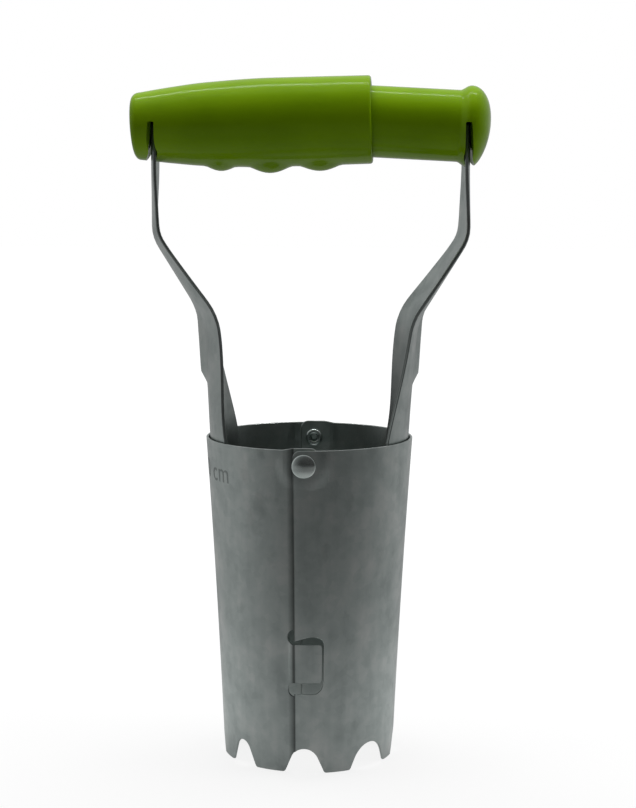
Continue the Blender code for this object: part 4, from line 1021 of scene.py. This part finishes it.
def spring_shape():
    """The return spring: a wire's section spun and drawn along the grip, with closer turns at each end."""
    lean = SPRING_RADIUS * math.sin(ARM_TOP_TWIST)
    end = PIN_X - ARM_SHEET / 2 - arm_hollow(SPRING_RADIUS) - lean - SEAT_GAP - SPRING_WIRE / 2
    middle = end - SPRING_END_TURNS * SPRING_END_PITCH
    shape = bmesh.new()
    circle = bmesh.ops.create_circle(shape, cap_ends=False, segments=WIRE_STEPS, radius=SPRING_WIRE / 2)
    turn_about(shape, math.pi / 2, "X")
    bmesh.ops.translate(shape, vec=(SPRING_RADIUS, 0, -end), verts=circle["verts"])
    last = [*circle["verts"], *shape.edges]
    bmesh.ops.contextual_create(shape, geom=only(bmesh.types.BMEdge, last))
    closer = (SPRING_END_TURNS, SPRING_END_PITCH)
    for turns, pitch in (closer, (SPRING_TURNS, 2 * middle / SPRING_TURNS), closer):
        spun = bmesh.ops.spin(shape, geom=last, cent=(0, 0, 0), axis=(0, 0, 1),
                              dvec=(0, 0, pitch / COIL_STEPS), angle=2 * math.pi * turns,
                              steps=round(turns * COIL_STEPS), use_merge=False)
        last = only((bmesh.types.BMVert, bmesh.types.BMEdge), spun["geom_last"])
    bmesh.ops.contextual_create(shape, geom=only(bmesh.types.BMEdge, last))
    bmesh.ops.remove_doubles(shape, verts=shape.verts, dist=WELD_DISTANCE)
    lay_along_x(shape)
    lean_from_pin(shape, -1, SPRING_LEAN)
    return shape


def depth_mark_shape():
    """The stamped depth mark: text bent round the shell's outer face, on the right-hand side."""
    text = bpy.data.curves.new("depth_mark_text", "FONT")
    text.body = MARK_TEXT
    text.align_x = "RIGHT"
    text.size = MARK_SIZE
    text.space_character = MARK_SPACING_SHARE
    text.extrude = MARK_RELIEF
    holder = placed("depth_mark_text", text)
    graph = bpy.context.evaluated_depsgraph_get()
    flat = bpy.data.meshes.new_from_object(holder.evaluated_get(graph))
    bpy.data.objects.remove(holder, do_unlink=True)
    bpy.data.curves.remove(text)
    shape = bmesh.new()
    shape.from_mesh(flat)
    bpy.data.meshes.remove(flat)
    bmesh.ops.remove_doubles(shape, verts=shape.verts, dist=WELD_DISTANCE)
    bends = [-MARK_SIZE * line / MARK_LINES_IN_SIZE for line in range(1, MARK_LINES + 1)]
    cut_lines(shape, bends, (1, 0, 0))
    unmark_lines(shape)
    for vert in shape.verts:
        azimuth = MARK_END_ANGLE + vert.co.x / SHELL_TOP_RADIUS
        height = MARK_BASELINE + vert.co.y
        vert.co = on_tube(shell_radius(height) + layer_offset(azimuth) + vert.co.z, azimuth, height)
    return shape


class Nodes:
    """The node tree of a material or a world, with short ways to add to it."""

    def __init__(self, owner, shader, coordinates):
        owner.use_nodes = True
        self.owner = owner
        self.tree = owner.node_tree
        self.shader = self.tree.nodes[shader]
        self.place = self.tree.nodes.new("ShaderNodeTexCoord").outputs[coordinates]

    def add(self, kind, **values):
        """A new node, with its settings and the values of its sockets."""
        node = self.tree.nodes.new(kind)
        for key, value in values.items():
            if hasattr(node, key):
                setattr(node, key, value)
            else:
                node.inputs[key.replace("_", " ")].default_value = value
        return node

    def link(self, out, into):
        """Join an output to an input."""
        self.tree.links.new(out, into)

    def feed(self, socket, value):
        """Give one of the shader's sockets an output, or a value of its own."""
        if isinstance(value, bpy.types.NodeSocket):
            self.link(value, self.shader.inputs[socket])
        else:
            self.shader.inputs[socket].default_value = value

    def axes(self):
        """The coordinates' X, Y and Z."""
        node = self.add("ShaderNodeSeparateXYZ")
        self.link(self.place, node.inputs["Vector"])
        return node.outputs

    def stretched(self, scale):
        """The coordinates, stretched."""
        node = self.add("ShaderNodeMapping")
        node.inputs["Scale"].default_value = scale
        self.link(self.place, node.inputs["Vector"])
        return node.outputs["Vector"]

    def noise(self, scale, detail, roughness, place=None):
        """A noise over the coordinates, or over a stretched place."""
        node = self.add("ShaderNodeTexNoise", Scale=scale, Detail=detail, Roughness=roughness)
        self.link(place or self.place, node.inputs["Vector"])
        return node.outputs["Fac"]

    def attribute(self, name):
        """A value that a piece's points carry."""
        return self.add("ShaderNodeAttribute", attribute_name=name).outputs["Fac"]

    def ramp(self, value, low, high, out_low, out_high, soft=False):
        """A value mapped from one range to another, by a straight line or a soft step."""
        node = self.add("ShaderNodeMapRange", From_Min=low, From_Max=high, To_Min=out_low, To_Max=out_high)
        if soft:
            node.interpolation_type = "SMOOTHSTEP"
        self.link(value, node.inputs["Value"])
        return node.outputs["Result"]

    def math(self, operation, first, second):
        """One sum on two values, each an output or a number."""
        node = self.add("ShaderNodeMath", operation=operation)
        for index, value in enumerate((first, second)):
            if isinstance(value, (int, float)):
                node.inputs[index].default_value = value
            else:
                self.link(value, node.inputs[index])
        return node.outputs[0]

    def colours(self, value, stops):
        """A colour ramp over a value."""
        node = self.add("ShaderNodeValToRGB")
        band = node.color_ramp
        while len(band.elements) < len(stops):
            band.elements.new(0.5)
        for element, (place, colour) in zip(band.elements, stops):
            element.position = place
            element.color = (*colour, 1.0)
        self.link(value, node.inputs["Fac"])
        return node.outputs["Color"]

    def tint(self, colour, factor):
        """A colour multiplied by a value."""
        node = self.add("ShaderNodeMix", data_type="RGBA", blend_type="MULTIPLY")
        node.inputs["Factor"].default_value = 1.0
        self.link(colour, node.inputs["A"])
        self.link(factor, node.inputs["B"])
        return node.outputs["Result"]

    def bump(self, height, strength, distance):
        """A bump from a height, on the shader."""
        node = self.add("ShaderNodeBump", Strength=strength, Distance=distance)
        self.link(height, node.inputs["Height"])
        self.feed("Normal", node.outputs["Normal"])


def finish_nodes(name):
    """The nodes of a new finish, which read object coordinates."""
    return Nodes(bpy.data.materials.new(name), "Principled BSDF", "Object")


def seam_painted_shade(nodes, colour):
    """Painted shade along the seams: darken a colour on the lower layer beside the upper layer's edge, and
    on that edge.
    """
    axes = nodes.axes()
    across = nodes.math("MULTIPLY", axes["X"], math.cos(SEAM_ANGLE))
    ahead = nodes.math("MULTIPLY", axes["Y"], -math.sin(SEAM_ANGLE))
    face = nodes.math("SIGN", nodes.math("MULTIPLY", axes["Y"], -1.0), 0.0)
    beyond = nodes.math("MULTIPLY", nodes.math("ADD", across, ahead), face)
    lower = nodes.ramp(beyond, SEAM_SHADE_START, SEAM_SHADE_DEEP, 1.0, SEAM_LIGHT_SHARE)
    upper = nodes.ramp(beyond, SEAM_EDGE_START, SEAM_EDGE_END, SEAM_LIGHT_SHARE, 1.0)
    inside = nodes.math("SUBTRACT", 1.0, nodes.attribute("outer_face"))
    return nodes.tint(colour, nodes.math("MAXIMUM", nodes.math("MAXIMUM", lower, upper), inside))


def arm_painted_reflection(nodes, colour):
    """Painted dark reflection: darken a colour low on the arms' inner faces, more on the right arm."""
    axes = nodes.axes()
    low = nodes.ramp(axes["Z"], ARM_REFLECTION_LOW, ARM_REFLECTION_HIGH, 1.0, 0.0)
    side = nodes.ramp(axes["X"], -ARM_REFLECTION_BLEND, ARM_REFLECTION_BLEND, *ARM_REFLECTION_SHARES)
    darkened = nodes.math("MULTIPLY", nodes.math("MULTIPLY", low, side), nodes.attribute("inner_face"))
    return nodes.tint(colour, nodes.math("SUBTRACT", 1.0, darkened))


def galvanised_steel(name, shade, rough, spangle=1.0, seams=False, reflection_on_arms=False):
    """Zinc-coated sheet: a faint spangle, soft clouds and rolling streaks, with a few dull stains."""
    nodes = finish_nodes(name)
    nodes.feed("Metallic", ZINC_METALLIC)
    clouds = nodes.noise(*ZINC_CLOUDS)
    streaks = nodes.noise(*ZINC_STREAKS, place=nodes.stretched(ZINC_STREAK_STRETCH))
    cells = nodes.add("ShaderNodeTexVoronoi", Scale=ZINC_SPANGLE_SCALE, feature="F1")
    nodes.link(nodes.place, cells.inputs["Vector"])
    flake = nodes.add("ShaderNodeSeparateColor")
    nodes.link(cells.outputs["Color"], flake.inputs["Color"])
    flakes = nodes.math("MULTIPLY", flake.outputs["Red"], ZINC_SPANGLE_SHARE * spangle)
    tone = nodes.math("MULTIPLY", clouds, ZINC_CLOUD_SHARE)
    tone = nodes.math("ADD", tone, nodes.math("MULTIPLY", streaks, ZINC_STREAK_SHARE))
    tone = nodes.math("ADD", tone, flakes)
    tints = [(place, tuple(shade * part for part in tint)) for place, tint in ZINC_TINTS]
    stains = nodes.noise(*ZINC_STAINS, place=nodes.stretched(ZINC_STAIN_STRETCH))
    colour = nodes.tint(nodes.colours(tone, tints), nodes.ramp(stains, *ZINC_STAIN_RAMP))
    # painted shade along the seams, on the outer faces
    if seams:
        colour = seam_painted_shade(nodes, colour)
    # painted dark reflection low on the arms' inner faces
    if reflection_on_arms:
        colour = arm_painted_reflection(nodes, colour)
    nodes.feed("Base Color", colour)
    gloss = nodes.ramp(tone, *ZINC_GLOSS_RANGE, rough + ZINC_DULLER, rough - ZINC_GLOSSIER)
    nodes.feed("Roughness", gloss)
    lines = nodes.math("MULTIPLY", streaks, ZINC_GRAIN_STREAK_SHARE)
    nodes.bump(nodes.math("ADD", nodes.noise(*ZINC_GRAIN), lines), *ZINC_BUMP)
    return nodes.owner


def green_plastic():
    """Glossy lime-green moulding with faint clouds, flow marks and rubbing in its gloss."""
    nodes = finish_nodes("green_plastic")
    nodes.feed("Specular IOR Level", GREEN_SPECULAR)
    flow = nodes.noise(*GREEN_FLOW, place=nodes.stretched(GREEN_FLOW_STRETCH))
    tone = nodes.math("MULTIPLY", nodes.noise(*GREEN_CLOUDS), GREEN_CLOUD_SHARE)
    tone = nodes.math("ADD", tone, nodes.math("MULTIPLY", flow, GREEN_FLOW_SHARE))
    nodes.feed("Base Color", nodes.colours(tone, GREEN_COLOURS))
    rubbed = nodes.noise(*GREEN_RUBBING)
    nodes.feed("Roughness", nodes.ramp(rubbed, *GREEN_GLOSS_RAMP))
    nodes.bump(nodes.math("ADD", rubbed, flow), *GREEN_BUMP)
    return nodes.owner


def spring_wire():
    """Drawn wire, oiled and a little blued."""
    nodes = finish_nodes("spring_wire")
    nodes.feed("Metallic", WIRE_METALLIC)
    marks = nodes.noise(*WIRE_MARKS)
    nodes.feed("Base Color", nodes.colours(marks, WIRE_COLOURS))
    nodes.feed("Roughness", nodes.ramp(marks, *WIRE_GLOSS_RAMP))
    nodes.bump(marks, *WIRE_BUMP)
    return nodes.owner


def pale_floor():
    """Pale table top: white to the camera away from the object, and darker in reflections, which see it
    lightest close to the object and towards the back and the left."""
    nodes = finish_nodes("pale_floor")
    nodes.feed("Base Color", (FLOOR_SHADE, FLOOR_SHADE, FLOOR_SHADE, 1.0))
    nodes.feed("Roughness", FLOOR_ROUGHNESS)
    nodes.feed("Specular IOR Level", 0.0)
    nodes.feed("Emission Color", WHITE)
    length = nodes.add("ShaderNodeVectorMath", operation="LENGTH")
    nodes.link(nodes.place, length.inputs[0])
    away = length.outputs["Value"]
    axes = nodes.axes()
    leftward = nodes.math("MULTIPLY", nodes.math("MINIMUM", away, FLOOR_LEFT_REACH), FLOOR_LEFT_GROWTH)
    leftward = nodes.math("MULTIPLY", axes["X"], nodes.math("SUBTRACT", leftward, FLOOR_LEFT))
    backward = nodes.math("MULTIPLY", axes["Y"], FLOOR_BACK)
    side = nodes.math("DIVIDE", nodes.math("ADD", leftward, backward), away)
    near = nodes.ramp(away, *FLOOR_NEAR_RAMP)
    reflected = nodes.math("ADD", near, nodes.ramp(side, *FLOOR_SIDE_RAMP))
    path = nodes.add("ShaderNodeLightPath").outputs
    seen = nodes.math("MAXIMUM", path["Is Camera Ray"], path["Is Transmission Ray"])
    seen = nodes.math("MAXIMUM", seen, nodes.math("MULTIPLY", path["Is Glossy Ray"], reflected))
    seen = nodes.math("MAXIMUM", seen, nodes.math("MULTIPLY", path["Is Diffuse Ray"], FLOOR_BOUNCE))
    nodes.feed("Emission Strength", nodes.math("MULTIPLY", seen, nodes.ramp(away, *FLOOR_GLOW_RAMP)))
    return nodes.owner


def studio_world():
    """A soft room: white to the camera, dim towards the front and the right, lighter towards the back."""
    world = bpy.data.worlds.new("studio")
    bpy.context.scene.world = world
    nodes = Nodes(world, "Background", "Generated")
    axes = nodes.axes()
    leftward = nodes.math("MULTIPLY", axes["X"], -ROOM_LEFT)
    backward = nodes.math("MULTIPLY", axes["Y"], ROOM_BACK)
    walls = nodes.ramp(nodes.math("ADD", leftward, backward), *ROOM_WALL_RAMP, soft=True)
    ceiling = nodes.ramp(axes["Z"], *ROOM_CEILING_RAMP, soft=True)
    room = nodes.math("MINIMUM", nodes.math("ADD", walls, ceiling), 1.0)
    path = nodes.add("ShaderNodeLightPath").outputs
    seen = nodes.math("MAXIMUM", path["Is Camera Ray"], path["Is Transmission Ray"])
    seen = nodes.math("MAXIMUM", seen, nodes.math("MULTIPLY", path["Is Glossy Ray"], room))
    nodes.feed("Strength", nodes.math("MAXIMUM", seen, nodes.math("MULTIPLY", room, ROOM_LIGHT)))
    nodes.feed("Color", WHITE)


def area_light(name, place, target, width, depth, power, in_metal):
    """A rectangular lamp that faces a target."""
    data = bpy.data.lights.new(name, "AREA")
    data.shape = "RECTANGLE"
    data.size = width
    data.size_y = depth
    data.energy = power
    lamp = placed(name, data)
    lamp.location = place
    lamp.rotation_euler = (Vector(target) - Vector(place)).to_track_quat("-Z", "Y").to_euler()
    lamp.visible_glossy = in_metal


def place_camera():
    """The camera at the photograph's viewing angle."""
    data = bpy.data.cameras.new("camera")
    data.lens = CAMERA_LENS
    data.clip_start = CAMERA_NEAR
    camera = placed("camera", data)
    turn = Matrix.Rotation(CAMERA_TURN, 4, "Z") @ Matrix.Rotation(CAMERA_TILT, 4, "X")
    camera.matrix_world = Matrix.Translation(CAMERA_PLACE) @ turn @ Matrix.Rotation(CAMERA_ROLL, 4, "Z")
    bpy.context.scene.camera = camera


def lay_floor():
    """The pale floor that the teeth stand on."""
    shape = bmesh.new()
    bmesh.ops.create_grid(shape, x_segments=2, y_segments=2, size=FLOOR_HALF_SIZE)
    floor = placed("floor", mesh_of("floor", shape))
    floor.data.materials.append(pale_floor())


def set_studio():
    """Camera, room, floor and lamps."""
    bpy.context.scene.view_settings.view_transform = "Standard"
    place_camera()
    studio_world()
    lay_floor()
    for name, lamp in LAMPS.items():
        area_light(name, *lamp)


def add_sheets(half_turn):
    """Both shells and both arms. The left ones are made on the right and turned round."""
    # the shells' steel carries painted shade along the seams
    steel = galvanised_steel("galvanised_steel", SHELL_SHADE, SHELL_ROUGHNESS, seams=True)
    # the arms' steel carries a painted dark reflection low on their inner faces
    arm_steel = galvanised_steel("pressed_arm_steel", ARM_SHADE, ARM_ROUGHNESS, reflection_on_arms=True)
    sheets = [
        add_piece("notched_shell", make_shell(tabbed=False), steel,
                  "right_half", ["right_shell"]),
        add_piece("tabbed_shell", make_shell(tabbed=True), steel,
                  "left_half", ["left_shell"], half_turn),
        add_piece("pressed_arm_right", make_arm(), arm_steel,
                  "right_half", ["right_arm"]),
        add_piece("pressed_arm_left", make_arm(), arm_steel,
                  "left_half", ["left_arm"], half_turn),
    ]
    for piece in sheets:
        even_shading(piece)


def add_depth_marks(half_turn):
    """One depth mark on each shell."""
    stamped = galvanised_steel("stamped_line", MARK_SHADE, MARK_ROUGHNESS)
    add_piece("depth_mark_left", depth_mark_shape(), stamped,
              "left_half", turn=half_turn)
    add_piece("depth_mark_right", depth_mark_shape(), stamped,
              "right_half")


def add_rivets(half_turn):
    """The front rivet and the back one."""
    steel = galvanised_steel("rivet_steel", RIVET_SHADE, RIVET_ROUGHNESS, RIVET_SPANGLE)
    add_piece("rivet_front", rivet_shape(), steel,
              "left_half", ["front_rivet"])
    add_piece("rivet_back", rivet_shape(), steel,
              "left_half", ["back_rivet"], half_turn)


def add_grip():
    """The sleeve, the plunger and the spring inside them."""
    green = green_plastic()
    sleeve = add_piece("grip_sleeve", sleeve_shape(), green,
                       "sleeve", ["sleeve"])
    cut_arm_slot(sleeve, -1)
    plunger = add_piece("grip_plunger", plunger_shape(), green,
                        "plunger", ["plunger"])
    cut_arm_slot(plunger, 1)
    spring = add_piece("coiled_spring", spring_shape(), spring_wire(),
                       "sleeve", ["return_spring"])
    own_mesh(spring)


set_studio()
add_sheets(math.pi)
add_depth_marks(math.pi)
add_rivets(math.pi)
add_grip()
